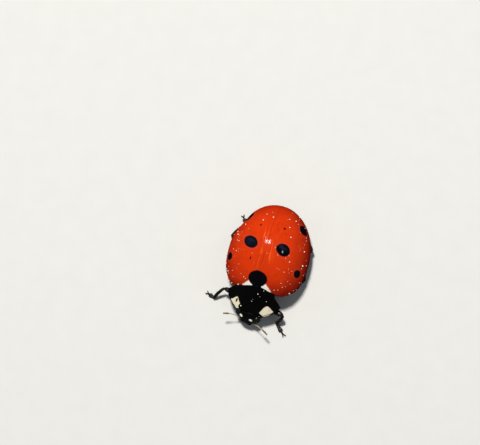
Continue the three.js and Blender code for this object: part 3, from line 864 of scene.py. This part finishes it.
def make_scutellum():
    """The small black triangle between the roots of the wing cases."""
    low, high = local_span("scutellum")
    bm = bmesh.new()
    bmesh.ops.create_circle(bm, cap_ends=True, segments=3, radius=1)
    tip = max(bm.verts, key=lambda v: v.co.y)
    for v in bm.verts:
        if v is tip:
            v.co = Vector((0, high.y, 0))
        else:
            v.co = Vector((copysign(high.x, v.co.x), low.y - 0.05, 0))
    bmesh.ops.subdivide_edges(bm, edges=bm.edges, cuts=4, use_grid_fill=True)
    for v in bm.verts:
        rounded = 0.35 * v.co.x ** 2 + 0.03 * (v.co.x / high.x) ** 4
        v.co.z = MARGIN_Z + shell_rise(v.co.y) + 0.004 - rounded
    settle(bm, "scutellum", SHIELD, levels=2, wall=0.06, closed=False)


make_scutellum()


# ---- neck shield ----

SHIELD_ACROSS, SHIELD_ALONG = 40, 22
CORNER_SHARE = 0.335  # of the shield's length, from its back edge to its hind corners
FRONT_SHARE = 0.965  # of the shield's length, from its back edge to its front edge
BEAD_HEIGHT = 0.022
BEAD_WIDTH = 0.03
BACK_ROLL, BACK_ROLL_WIDTH = 0.09, 0.08
# The back edge of the shield is a little hollow on its right: where, how wide and how deep.
HOLLOW_X, HOLLOW_WIDTH, HOLLOW_DEPTH = -0.8, 0.8, 0.17
# Its left hind corner is a little cut back: the same three values.
CORNER_X, CORNER_WIDTH, CORNER_CUT = 1.62, 0.42, 0.06
# How long the sides stay wide before they draw in to the front.
RIGHT_FULLNESS, LEFT_FULLNESS = 1.75, 2.1
# Out and up, loop by loop, where the sides turn under.
SHIELD_STEPS = ((0.012, -0.02), (0.0, -0.035), (-0.05, -0.03), (-0.28, -0.14), (-0.30, -0.30))


def shield_point(u, s):
    """The upper side: u from -1 to 1 across, s from 0 at the back edge to 1 at the front."""
    corner_y = SHIELD_BACK - CORNER_SHARE * SHIELD_LENGTH
    front_y = SHIELD_BACK - FRONT_SHARE * SHIELD_LENGTH
    across = sin(pi / 2 * u)
    fullness = LEFT_FULLNESS if u > 0 else RIGHT_FULLNESS
    half = SHIELD_HALF_WIDTH + (SHIELD_FRONT_HALF_WIDTH - SHIELD_HALF_WIDTH) * s ** fullness
    back = corner_y + (SHIELD_BACK - corner_y) * (1 - abs(across) ** 2.15)
    front = front_y + 0.07 * (1 - u * u)
    flat = Vector((half * across, back + (front - back) * s, 0)) - SHIELD_PIVOT
    turned = SHIELD_TURN @ flat + SHIELD_PIVOT + SHIELD_SHIFT
    hollow = HOLLOW_DEPTH * bell(turned.x - HOLLOW_X, HOLLOW_WIDTH)
    corner = CORNER_CUT * bell(turned.x - CORNER_X, CORNER_WIDTH)
    turned.y -= (hollow + corner) * (1 - s) ** 3
    return Vector((turned.x, turned.y, shield_height(turned.x, turned.y)))


def make_shield():
    bm = bmesh.new()
    bmesh.ops.create_grid(bm, x_segments=SHIELD_ACROSS, y_segments=SHIELD_ALONG, size=1)
    edge = bm.verts.layers.float.new("edge")
    on_side = bm.verts.layers.float.new("on_side")
    for v in bm.verts:
        u, s = v.co.x, sin(pi / 4 * (1 - v.co.y))
        v.co = shield_point(u, s)
        to_side = (v.co - shield_point(copysign(1, u), s)).length
        to_front = (v.co - shield_point(u, 1)).length
        to_back = (v.co - shield_point(u, 0)).length
        v[edge] = min(to_side, to_front)
        v[on_side] = copysign(float(abs(u) > 1 - NEAR), u)
        v.co.z += BEAD_HEIGHT * bell(min(to_side, to_front), BEAD_WIDTH)
        v.co.z -= BACK_ROLL * bell(to_back, BACK_ROLL_WIDTH)
    loop = [e for e in bm.edges if all(abs(v[on_side]) > 0.5 for v in e.verts)]
    for out, rise in SHIELD_STEPS:
        corners, loop = next_loop(bm, loop)
        for v in corners:
            v.co += Vector((out * v[on_side], 0, rise))
    face_upwards(bm)
    return settle(bm, "pronotum", SHIELD, levels=1, wall=SHELL_WALL, closed=False)


SHIELD_PIECE = make_shield()


# ---- underside ----

RINGS = ["mesothorax", "metathorax"] + [f"abdomen_{n}" for n in range(1, 6)]
BODY_AXIS = Vector((0, 0, MARGIN_Z))
BODY_INSET = 0.34  # from the wing cases' outline to the side of the body, at its widest
# Below, a ring spreads and drops towards its hind edge and is tucked up at its front edge.
RING_SPREAD, RING_DROP, RING_TUCK = 0.012, 0.045, 0.025
RING_END_STEPS = ((0.01, 0.012), (0.06, 0.0), (0.3, -0.02))


def on_body(x, y, z):
    """The body under the wing cases: x and z point round it from its axis, on a unit circle."""
    angle = atan2(abs(z), abs(x))
    inset = BODY_INSET - 0.18 * max(0.0, y / REAR)
    reach = max(0.0, shell_half_width(y) - inset) * cos(angle) ** 0.85
    if z > 0:
        height = max(0.0, shell_rise(y) - 0.16) * sin(angle) ** 0.9
    else:
        end = REAR if y > 0 else 1.16 * FRONT
        depth = (BELLY_DEPTH + 0.02) * max(0.0, 1 - (abs(y) / end) ** 2.4) ** 0.5
        height = -depth * sin(angle) ** 0.8
    return Vector((copysign(reach, x), y, MARGIN_Z - 0.03 + height))


def make_ring(name):
    """One ring of the body; below, its hind edge overlaps the next one."""
    low, high = local_span(name)
    first, last = name == RINGS[0], name == RINGS[-1]
    end = 0.955 * REAR if last else high.y
    bm = tube(72, 11)
    for v in bm.verts:
        share = (v.co.z + 1) / 2
        if last:
            share = sin(pi / 2 * share)
        turned = Vector((v.co.x, v.co.y)).normalized()
        v.co = on_body(turned.x, low.y + 0.03 + (end - low.y) * share, turned.y)
        if v.co.z < MARGIN_Z:
            v.co.z -= (0.0 if last else RING_DROP) * share ** 3
            v.co.z += 0.0 if first else RING_TUCK * (1 - share) ** 2
            v.co.x *= 1 + RING_SPREAD * share
        if last:
            v.co = v.co.lerp(Vector((0, v.co.y, MARGIN_Z - 0.1)), 0.4 * share ** 9)
    shut_ends(bm, RING_END_STEPS, BODY_AXIS)
    return settle(bm, name, BELLY, levels=1)


RING_PIECES = [make_ring(name) for name in RINGS]
KEEL = (0.022, 0.022, 0.022)  # half-thickness of the fine keels on the belly


def make_fore_body():
    """The barrel under the neck shield, with two fine keels between the fore legs."""
    low, high = local_span("prothorax")
    width, reach, depth = 1.28, 0.86, 0.78
    centre = Vector((SHIELD_SHIFT.x, high.y + 0.30 - reach, low.z + depth))
    bm = quad_ball(15)
    for v in bm.verts:
        ahead = max(0.0, -v.co.y)
        x = width * (1 - 0.25 * ahead) * signed_power(v.co.x, 0.85)
        y = reach * signed_power(v.co.y, 0.6)
        z = depth * signed_power(v.co.z, 0.9)
        v.co = centre + Vector((x, y, z))
        v.co.z = min(v.co.z, shield_height(0.97 * v.co.x, v.co.y) - UNDER_SHIELD)
    for side in SIDES.values():
        start = centre + Vector((side * 0.13, -0.72, -0.60))
        end = centre + Vector((side * 0.20, 0.40, -0.755))
        draw_out(bm, bow(start, end, UP * -0.06), KEEL, 8, 12)
    return settle(bm, "prothorax", BELLY, levels=1)


FORE_BODY = make_fore_body()


def hip_line(side, low, high):
    """Path of one arched keel on the first belly plate, from the midline outwards."""
    start = Vector((side * 0.22, low.y + 0.10))
    end = Vector((side * 1.55, low.y + 0.16))

    def keel(t):
        level = start.lerp(end, t) + Vector((0, 0.36)) * sin(pi * t) ** 0.8
        edge = max(0.1, shell_half_width(level.y) - BODY_INSET)
        slope = acos(min(1.0, abs(level.x) / edge) ** (1 / 0.85))
        point = on_body(copysign(cos(slope), level.x), level.y, -sin(slope))
        share = (level.y - low.y) / (high.y - low.y)
        return point - UP * (RING_DROP * share ** 3 - 0.01)

    return keel


def make_hip_lines():
    """The two fine arched keels behind the hind legs."""
    bm = bmesh.new()
    for side in SIDES.values():
        draw_out(bm, hip_line(side, *local_span("abdomen_1")), KEEL, 8, 26)
    settle(bm, "belly_keels", BELLY)


make_hip_lines()


# ---- head ----

EYE_CENTRES = {name: middle_of(f"eye_{name}") for name in SIDES}
BROW = EYE_CENTRES["left"] - EYE_CENTRES["right"]
HEAD_CENTRE = (EYE_CENTRES["left"] + EYE_CENTRES["right"]) / 2 + Vector((0.01, 0.06, 0.03))
HEAD_BOW = radians(32)
HEAD_HALF_WIDTH, HEAD_HALF_LENGTH, HEAD_HALF_HEIGHT = 0.67, 0.68, 0.50
SOCKET_X, SOCKET_Y, SOCKET_SIZE, SOCKET_DEPTH = 0.34, -0.52, 0.10, 0.05
EYE_X, EYE_Y, EYE_Z = 0.60, -0.12, 0.05  # from the middle of the head
EYE_HALF_WIDTH, EYE_HALF_LENGTH = 0.25, 0.31
HEAD_FRAME = Euler((HEAD_BOW, 0, atan2(BROW.y, BROW.x)), "XYZ").to_matrix()


def on_head(x, y, z):
    """A place given from the middle of the head: to its left, backwards and up."""
    return HEAD_CENTRE + HEAD_FRAME @ Vector((x, y, z))


def make_head():
    """A broad capsule, flatter in front, with a shallow socket for each feeler."""
    bm = quad_ball(13)
    for v in bm.verts:
        unit = v.co.copy()
        ahead = max(0.0, -unit.y)
        x = (HEAD_HALF_WIDTH - 0.13 * ahead ** 3) * signed_power(unit.x, 0.82)
        y = HEAD_HALF_LENGTH * signed_power(unit.y, 0.9)
        z = HEAD_HALF_HEIGHT * signed_power(unit.z, 0.85) * (1 - 0.15 * ahead ** 2)
        socket = ((abs(x) - SOCKET_X) / SOCKET_SIZE) ** 2 + ((y - SOCKET_Y) / SOCKET_SIZE) ** 2
        z -= SOCKET_DEPTH * exp(-socket) * max(0.0, unit.z)
        v.co = on_head(x, y, z)
        if v.co.y > SHIELD_LOW.y + 0.12:
            v.co.z = min(v.co.z, shield_height(v.co.x, v.co.y) - UNDER_SHIELD)
    return settle(bm, "head", HEAD, levels=2)


HEAD_PIECE = make_head()


def make_eye(name, side):
    """A coarse-faceted oval, notched in front where the feeler stands."""
    bm = quad_ball(13)
    for v in bm.verts:
        unit = v.co.copy()
        notch = 0.10 * exp(-(((unit.y + 0.80) / 0.28) ** 2) - ((unit.z / 0.28) ** 2))
        x = EYE_X + EYE_HALF_WIDTH * unit.x - notch * 0.6
        y = EYE_Y + EYE_HALF_LENGTH * unit.y + notch
        v.co = on_head(side * x, y, EYE_Z + EYE_HALF_LENGTH * unit.z)
    return settle(bm, f"eye_{name}", EYE, levels=1)


for side_name, side in SIDES.items():
    make_eye(side_name, side)


def make_lip(name, half_size, place, finish, dent):
    """A rounded plate of the mouth, dented along its front edge."""
    bm = quad_ball(9)
    for v in bm.verts:
        unit = v.co.copy()
        hollow = dent * bell(unit.x, 0.45) * max(0.0, -unit.y)
        x, y, z = [size * signed_power(c, 0.78) for size, c in zip(half_size, unit)]
        v.co = on_head(place[0] + x, place[1] + y + hollow, place[2] + z)
    settle(bm, name, finish, levels=1)


def make_jaw(name, side):
    """A mandible with its tip split in two teeth."""
    bm = bmesh.new()
    root = on_head(side * 0.30, -0.42, -0.30)
    bulge = HEAD_FRAME @ Vector((side * 0.10, -0.07, -0.02))
    for rise in (0.0, -0.05):
        tip = on_head(side * 0.02, -0.70, -0.36 + rise)
        draw_out(bm, bow(root, tip, bulge), (0.11, 0.085, 0.02), 12, 12, 0.75, 3.0)
    settle(bm, f"mandible_{name}", MOUTH, levels=1)


# Where the joints of a palp meet, from the middle of the head, and their half-thicknesses.
PALP_STATIONS = ((0.34, -0.30, -0.36), (0.43, -0.38, -0.41), (0.52, -0.48, -0.41), (0.55, -0.58, -0.41))
PALP_RADII = (0.045, 0.058, 0.055)


def make_palp(name, side):
    """Three slim joints and a hatchet-shaped last one."""
    bm = bmesh.new()
    stations = [on_head(side * x, y, z) for x, y, z in PALP_STATIONS]
    for start, end, radius in zip(stations, stations[1:], PALP_RADII):
        draw_out(bm, bow(start, end), (0.7 * radius, radius, 1.1 * radius), 10, 8)
    hatchet = bow(on_head(side * 0.56, -0.54, -0.41), on_head(side * 0.50, -0.77, -0.47))
    top = HEAD_FRAME @ Vector((0.2, 0, 1))
    draw_out(bm, hatchet, (0.05, 0.11, 0.16), 14, 10, 0.42, 6.0, up=top)
    settle(bm, f"palp_{name}", MOUTH, levels=1)


make_lip("clypeus", (0.40, 0.17, 0.12), (0, -0.64, -0.08), HEAD, 0.06)
make_lip("labrum", (0.29, 0.14, 0.10), (0, -0.71, -0.23), LIP, 0.03)
for side_name, side in SIDES.items():
    make_jaw(side_name, side)
    make_palp(side_name, side)


# The eleven joints of a feeler: shares of its length, and half-thicknesses.
FEELER_SHARES = (0.14, 0.08, 0.10, 0.08, 0.075, 0.07, 0.065, 0.06, 0.11, 0.10, 0.12)
FEELER_RADII = (0.060, 0.046, 0.034, 0.032, 0.031, 0.031, 0.033, 0.037, 0.058, 0.068, 0.056)
CLUB_JOINTS = 3


def make_feeler(name, side):
    node = f"antenna_{name}"
    root = on_head(side * 0.38, -0.55, -0.04)
    tip = far_end(node, root)
    tip += (tip - root).normalized() * 0.12
    path = bow(root, tip, Vector((0, 0.07, 0.12)))
    total = sum(FEELER_SHARES)
    shaft, club = bmesh.new(), bmesh.new()
    at = 0.0
    for index, (share, radius) in enumerate(zip(FEELER_SHARES, FEELER_RADII)):
        start, end = path(at / total), path((at + share) / total)
        at += share
        target = club if index >= len(FEELER_SHARES) - CLUB_JOINTS else shaft
        radii = (0.55 * radius, radius, 0.95 * radius)
        draw_out(target, bow(start, end + (end - start) * 0.08), radii, 10, 8, 0.9, 3.0)
    shaft_piece = settle(shaft, node, FEELER, levels=1)
    club_piece = settle(club, f"{node}_club", CLUB, levels=1)
    return shaft_piece, club_piece, root, tip


FEELER_PIECES = [make_feeler(name, side) for name, side in SIDES.items()]


# ---- legs ----

ANKLE_Z = 0.17
HIP_SIZE = (0.30, 0.20, 0.17)
# Half-thicknesses of each part at its start, in its middle and at its end.
TROCHANTER = (0.12, 0.15, 0.11)
THIGH = (0.12, 0.205, 0.115)
SHIN = (0.085, 0.105, 0.118)
SPUR = (0.02, 0.015, 0.002)
FOOT_NECK = (0.06, 0.07, 0.06)
FIRST_PAD = (0.07, 0.10, 0.12)
SPLIT_PAD = (0.06, 0.09, 0.075)
CLAW_JOINT = (0.04, 0.05, 0.068)
HOOK = (0.042, 0.032, 0.005)
TOOTH = (0.032, 0.026, 0.008)


def leg_joints(name):
    """Hip, knee, ankle and toe of a leg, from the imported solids."""
    hip = middle_of(f"{name}_coxa")
    knee = far_end(f"{name}_femur", hip)
    ankle = far_end(f"{name}_tibia", knee)
    toe = far_end(f"{name}_tarsus", ankle)
    return hip, knee, Vector((ankle.x, ankle.y, ANKLE_Z)), Vector((toe.x, toe.y, 0))


def make_hip(name, hip, flat_out):
    turn = flat_out.to_track_quat("X", "Z").to_matrix().to_4x4()
    place = Matrix.Translation(hip + UP * 0.03) @ turn @ Matrix.Diagonal((*HIP_SIZE, 1))
    bm = bmesh.new()
    bmesh.ops.create_uvsphere(bm, u_segments=20, v_segments=10, radius=1, matrix=place)
    settle(bm, f"{name}_coxa", LEG)


def make_thigh(name, hip, knee):
    out = (knee - hip).normalized()
    root = hip + out * 0.16
    bm = bmesh.new()
    ring = bow(root - out * 0.05, root + out * 0.22)
    draw_out(bm, ring, TROCHANTER, 14, 10, 0.85, 3.0)
    thigh = bow(root + out * 0.12, knee, UP * 0.05)
    draw_out(bm, thigh, THIGH, 18, 18, 0.68, 5.0)
    return settle(bm, f"{name}_femur", LEG, levels=1)


def make_shin(name, knee, ankle, flat_out):
    """A bent shin with two spurs at its end."""
    line = ankle - knee
    bend = line.cross(UP).cross(line).normalized() * 0.04 + flat_out * 0.05
    bm = bmesh.new()
    shin = bow(knee - line * 0.03, ankle, bend)
    draw_out(bm, shin, SHIN, 16, 18, 0.8, 6.0)
    for turn in (-1, 1):
        spur = ankle + line.cross(UP).normalized() * 0.07 * turn
        draw_out(bm, bow(spur, spur + line.normalized() * 0.13), SPUR, 6, 6, 1, 3.0)
    return settle(bm, f"{name}_tibia", LEG, levels=1)


def foot_lines(ankle, toe):
    """The floor under the ankle, the foot's heading and sideways direction, and its length."""
    way = Vector((toe.x - ankle.x, toe.y - ankle.y, 0))
    length = way.length
    way.normalize()
    return Vector((ankle.x, ankle.y, 0)), way, way.cross(UP), length


def claw_seat(ground, way, length):
    return ground + way * (0.86 * length) + UP * 0.085


def make_foot(name, ankle, toe):
    """Flat pads under the foot, the second split in two, and the slim joint of the claws."""
    ground, way, across, length = foot_lines(ankle, toe)
    bm = bmesh.new()

    def lobe(start, end, radii, shift=0.0, flat=0.55):
        """One pad of the foot: distances along the foot, from ankle to toe."""
        base = ground + UP * (radii[1] * flat)
        path = bow(base + way * start + across * shift * 0.4, base + way * end + across * shift)
        draw_out(bm, path, radii, 12, 10, flat)

    neck = bow(ankle, ground + way * 0.12 + UP * 0.08)
    draw_out(bm, neck, FOOT_NECK, 10, 8, 0.9, 3.0)
    lobe(0.02, 0.38 * length, FIRST_PAD)
    for turn in (-1, 1):
        lobe(0.26 * length, 0.64 * length, SPLIT_PAD, turn * 0.075)
    root = ground + way * (0.40 * length) + UP * 0.10
    last = bow(root, claw_seat(ground, way, length), UP * 0.05)
    draw_out(bm, last, CLAW_JOINT, 12, 12, 0.9)
    for v in bm.verts:
        v.co.z = max(0.0, v.co.z)
    return settle(bm, f"{name}_tarsus", FOOT, levels=1)


def make_claws(name, ankle, toe):
    """Two bent claws, each with a tooth at its root."""
    ground, way, across, length = foot_lines(ankle, toe)
    bm = bmesh.new()
    for turn in (-1, 1):
        seat = claw_seat(ground, way, length) + across * 0.035 * turn
        tip = ground + way * (length + 0.05) + across * 0.12 * turn + UP * 0.012
        draw_out(bm, bow(seat, tip, UP * 0.06), HOOK, 8, 10, 0.8, 3.0)
        tooth = ground + way * (0.95 * length) + across * 0.035 * turn + UP * 0.02
        draw_out(bm, bow(seat, tooth), TOOTH, 8, 6, 0.8, 3.0)
    settle(bm, f"{name}_claws", CLAW, levels=1)


def make_leg(name):
    """Gives the parts that bear hairs, each with the two joints it runs between."""
    hip, knee, ankle, toe = leg_joints(name)
    out = (knee - hip).normalized()
    flat_out = Vector((out.x, out.y, 0)).normalized()
    make_hip(name, hip, flat_out)
    femur = make_thigh(name, hip, knee)
    tibia = make_shin(name, knee, ankle, flat_out)
    tarsus = make_foot(name, ankle, toe)
    make_claws(name, ankle, toe)
    return (femur, hip, knee), (tibia, knee, ankle), (tarsus, ankle, toe)


LEG_PIECES = {leg: make_leg(leg) for leg in LEG_NAMES}


# ---- hairs and pollen ----

HAIR_PATCH = 0.003  # size of a hair's patch on the unwrap of its skin
HAIR_CORNERS = [Vector((0, 0)), Vector((1, 0)), Vector((0.5, 1)), Vector((0.5, 0.35))]
HAIR_SINK = 0.012  # how deep a hair is rooted
BELLY_MIDLINE = (Vector((0, -3.2, 0.9)), Vector((0, 3.2, 0.9)))
# How many hairs and how long: on a ring, the fore body, the head, a feeler and its club.
RING_HAIRS = (190, 0.13)
FORE_BODY_HAIRS = (160, 0.11)
FACE_HAIRS = (150, 0.05)
SHAFT_HAIRS = (60, 0.045)
CLUB_HAIRS = (60, 0.04)
LEG_HAIRS = ((70, 0.09), (150, 0.10), (130, 0.055))  # on a thigh, a shin and a foot
SMALLEST_GRAIN, GRAIN_RANGE = 0.014, 0.034


def anywhere(place, normal):
    return 1.0


def below(place, normal):
    """Likes the underside only."""
    return max(0.0, -normal.z) ** 0.5 + 0.02 * (normal.z < 0.2)


def in_front(place, normal):
    return max(0.0, -normal.y) ** 2


def on_top(place, normal):
    return max(0.0, normal.z - 0.3)


def dusty_margin(place, normal):
    """Pollen gathers along the front margins and down the left side, and not on the spots."""
    on_black = abs(place.x) < 0.75 and place.y < -1.4
    for centre, size, _ in WING_SPOTS:
        on_black = on_black or (place - Vector(centre)).length < size[0]
    if normal.z < 0.12 or abs(place.x) < 0.1 or on_black:
        return 0.0
    low = bell(place.z - MARGIN_Z, 0.5)
    front = bell(place.y + 1.9, 0.7)
    return 0.6 + 5.0 * low * front + 1.4 * (place.x > 1.2) + 0.8 * low


def roots_on(piece, count, draw, likes):
    """Seeded places on a finished piece in beetle millimetres, more where likes() is higher.

    The faces are put in order by their corners first, as their own order varies from run to run.
    """
    skin = []
    for face in piece.data.polygons:
        corners = sorted(tuple(piece.data.vertices[k].co) for k in face.vertices)
        liking = face.area * likes(face.center / MM - ORIGIN, face.normal)
        skin.append((corners, liking, face.normal.copy()))
    skin.sort(key=lambda part: part[0])
    for corners, _, normal in draw.choices(skin, [part[1] for part in skin], k=count):
        shares = [draw.random() + 0.02 for _ in corners]
        spot = sum((Vector(corner) * share for corner, share in zip(corners, shares)), Vector())
        yield spot / sum(shares) / MM - ORIGIN, normal


def unwrap(place, start, end, cell):
    """Where a root lies on its piece rolled out flat, in one of 4 x 4 cells of the map."""
    axis = (end - start).normalized()
    side = axis.orthogonal().normalized()
    out = place - start
    around = atan2(out.dot(axis.cross(side)), out.dot(side)) / (2 * pi) + 0.5
    along = clamp(out.dot(axis) / (end - start).length)
    return Vector(((cell % 4 + 0.05 + 0.9 * around) / 4, (cell // 4 + 0.05 + 0.9 * along) / 4))


class Coat:
    """Short hairs on several pieces, gathered in one mesh."""

    def __init__(self, seed):
        self.draw = random.Random(seed)
        self.bm = bmesh.new()
        self.map = self.bm.loops.layers.uv.new("OFBake")
        self.cell = -1

    def grow(self, host, count, length, start, end, lift=0.4, likes=anywhere):
        """Hairs that lie from start towards end, lifted off the skin by a share of their length."""
        self.cell += 1
        lie = (end - start).normalized()
        for root, normal in roots_on(host, count, self.draw, likes):
            stray = Vector([self.draw.uniform(-0.3, 0.3) for _ in range(3)])
            along = (lie - normal * lie.dot(normal) + normal * lift + stray).normalized()
            size = length * self.draw.uniform(0.7, 1.2)
            middle = root - normal * HAIR_SINK + along * size / 2
            turn = along.to_track_quat("Z", "Y").to_matrix().to_4x4()
            made = bmesh.ops.create_cone(
                self.bm, cap_ends=False, segments=3, radius1=0.05 * size + 0.001, radius2=0,
                depth=size, matrix=Matrix.Translation(middle) @ turn,
            )["verts"]
            self.lay_out(made, unwrap(root, start, end, self.cell))

    def lay_out(self, hair, home):
        """Gives a hair its own small patch of the map, at the place of its root."""
        tip_last = sorted(hair, key=lambda v: (len(v.link_faces), tuple(v.co)))
        for v, corner in zip(tip_last, HAIR_CORNERS):
            for loop in v.link_loops:
                loop[self.map].uv = home + corner * HAIR_PATCH

    def finish(self, name, finish):
        settle(self.bm, name, finish, closed=False)


def grow_belly_hairs():
    coat = Coat(11)
    for ring in RING_PIECES:
        coat.grow(ring, *RING_HAIRS, *BELLY_MIDLINE, likes=below)
    coat.grow(FORE_BODY, *FORE_BODY_HAIRS, *BELLY_MIDLINE, likes=below)
    coat.finish("belly_hairs", BRISTLE)


def grow_leg_hairs(leg):
    coat = Coat(23 + LEG_NAMES.index(leg))
    for (piece, start, end), (count, length) in zip(LEG_PIECES[leg], LEG_HAIRS):
        coat.grow(piece, count, length, start, end, 0.55)
    coat.finish(f"{leg}_hairs", LEG_BRISTLE)


def grow_head_hairs():
    coat = Coat(41)
    nape, chin = on_head(0, 0.6, 0), on_head(0, -0.7, -0.1)
    coat.grow(HEAD_PIECE, *FACE_HAIRS, nape, chin, 0.3, in_front)
    for shaft, club, root, tip in FEELER_PIECES:
        coat.grow(shaft, *SHAFT_HAIRS, root, tip, 0.6)
        coat.grow(club, *CLUB_HAIRS, root, tip, 0.6)
    coat.finish("head_hairs", BRISTLE)


grow_belly_hairs()
for leg in LEG_NAMES:
    grow_leg_hairs(leg)
grow_head_hairs()

# Where pollen lies, how many grains, where it gathers, and the seed of its draw.
POLLEN_HOSTS = [
    (WING_CASES[0], 52, dusty_margin, 357),
    (WING_CASES[1], 52, dusty_margin, 371),
    (SHIELD_PIECE, 9, on_top, 116),
]


def scatter_pollen():
    """Lumpy grains, most of them small, half sunk in the skin."""
    bm = bmesh.new()
    for host, count, likes, seed in POLLEN_HOSTS:
        draw = random.Random(seed)
        for root, normal in roots_on(host, count, draw, likes):
            radius = SMALLEST_GRAIN + GRAIN_RANGE * draw.random() ** 1.6
            seat = root + normal * radius * 0.5
            made = bmesh.ops.create_icosphere(
                bm, subdivisions=2, radius=radius, matrix=Matrix.Translation(seat)
            )["verts"]
            squash = [draw.uniform(0.65, 1.15) for _ in range(3)]
            for v in sorted(made, key=lambda v: tuple(v.co)):
                out = (v.co - seat) * draw.uniform(0.85, 1.12)
                v.co = seat + Vector([c * k for c, k in zip(out, squash)])
    settle(bm, "pollen_grains", POLLEN)


scatter_pollen()


# ---- floor, light and camera ----

FLOOR_RADIUS = 900
FLOOR_DROP = 0.004  # below the feet
KEY_DIRECTION = (-0.122, 0.260, 0.958)
KEY_COLOUR = (1.0, 0.97, 0.92)
WINDOW_DIRECTION = (0.509, 0.105, 0.854)
WINDOW_COLOUR = (0.80, 0.90, 1.0)
LAMP_DISTANCE = 250
FLOOR_GREYS = ((0.66, 0.66, 0.64, 1), (0.70, 0.70, 0.68, 1))
# The room at the floor and overhead: as it lights the beetle, and as the gloss mirrors it.
SOFT_ROOM = ((0.40, 0.41, 0.42, 1), (0.12, 0.13, 0.15, 1))
MIRRORED_ROOM = ((0.06, 0.065, 0.06, 1), (0.02, 0.025, 0.04, 1))


def make_floor():
    bm = bmesh.new()
    bmesh.ops.create_circle(bm, cap_ends=True, segments=96, radius=FLOOR_RADIUS)
    bm.transform(Matrix.Scale(MM, 4) @ Matrix.Translation(Vector((0, 0, -FLOOR_DROP))))
    finish, b, shader = start_finish("pale floor", Roughness=0.85)
    grain = b.noise(b.node("ShaderNodeTexCoord").outputs["Object"], 900.0, 3.0)
    b.feed(shader["Base Color"], b.blend(grain, *FLOOR_GREYS))
    floor = make_object(bm, "floor", finish)
    floor.visible_glossy = False
    floor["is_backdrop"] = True


def add_softbox(name, direction, size, watts, colour, mirrored=True):
    """A round lamp aimed at the beetle; mirrored says whether the gloss shows it."""
    light = bpy.data.lights.new(name, "AREA")
    light.shape = "DISK"
    light.size = size * MM
    light.energy = watts
    light.color = colour
    box = bpy.data.objects.new(name, light)
    back = Vector(direction).normalized()
    box.location = (Vector((0, 0, 2)) + back * LAMP_DISTANCE) * MM
    box.rotation_mode = "QUATERNION"
    box.rotation_quaternion = back.to_track_quat("Z", "Y")
    box.visible_glossy = mirrored
    bpy.context.scene.collection.objects.link(box)


def light_room():
    """A pale room for soft shade; gloss mirrors a dimmer one, as with flags round a small set."""
    world = bpy.data.worlds.new("room")
    bpy.context.scene.world = world
    world.use_nodes = True
    b = Bench(world.node_tree)
    height = b.parts(b.node("ShaderNodeTexCoord").outputs["Generated"])[2]
    soft = b.blend(b.fade(height, 0.0, 0.6), *SOFT_ROOM)
    mirrored = b.blend(b.fade(height, 0.0, 0.6), *MIRRORED_ROOM)
    is_gloss = b.node("ShaderNodeLightPath").outputs["Is Glossy Ray"]
    b.feed(world.node_tree.nodes["Background"].inputs["Color"], b.blend(is_gloss, soft, mirrored))


PICTURE_WIDTH = 30.0
CAMERA_DISTANCE = 160.0
SENSOR = 36.0
LEAN_FORWARD = radians(11)
LEAN_LEFT = radians(8.5)
ROLL = radians(14.8)
LOOK_LEFT = 1.70  # from the crest of the back to the middle of the picture
LOOK_ABOVE = 1.28


def set_up_camera():
    back = Vector((tan(LEAN_LEFT), -tan(LEAN_FORWARD), 1)).normalized()
    level = (Vector((1, 0, 0)) - back * back.x).normalized()
    right = level * cos(ROLL) + back.cross(level) * sin(ROLL)
    top = back.cross(right)
    crest = ORIGIN + Vector((0, CREST_Y, MARGIN_Z + RISE))
    aim = crest - right * LOOK_LEFT + top * LOOK_ABOVE
    lens = bpy.data.cameras.new("camera")
    lens.sensor_width = SENSOR
    lens.lens = SENSOR * CAMERA_DISTANCE / PICTURE_WIDTH
    lens.clip_start = 0.01
    lens.clip_end = 10
    camera = bpy.data.objects.new("camera", lens)
    turn = Matrix((right, top, back)).transposed().to_4x4()
    camera.matrix_world = Matrix.Translation((aim + back * CAMERA_DISTANCE) * MM) @ turn
    bpy.context.scene.collection.objects.link(camera)
    bpy.context.scene.camera = camera


make_floor()
add_softbox("key softbox", KEY_DIRECTION, 42, 0.34, KEY_COLOUR, mirrored=False)
add_softbox("key lamp", KEY_DIRECTION, 36, 0.40, KEY_COLOUR)
add_softbox("cool window", WINDOW_DIRECTION, 14, 0.014, WINDOW_COLOUR)
light_room()
set_up_camera()
bpy.context.scene.view_settings.view_transform = "Standard"

boxes = {"cad": CAD_BOX, "visual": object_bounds()}
{key: [list(corner) for corner in box] for key, box in boxes.items()}
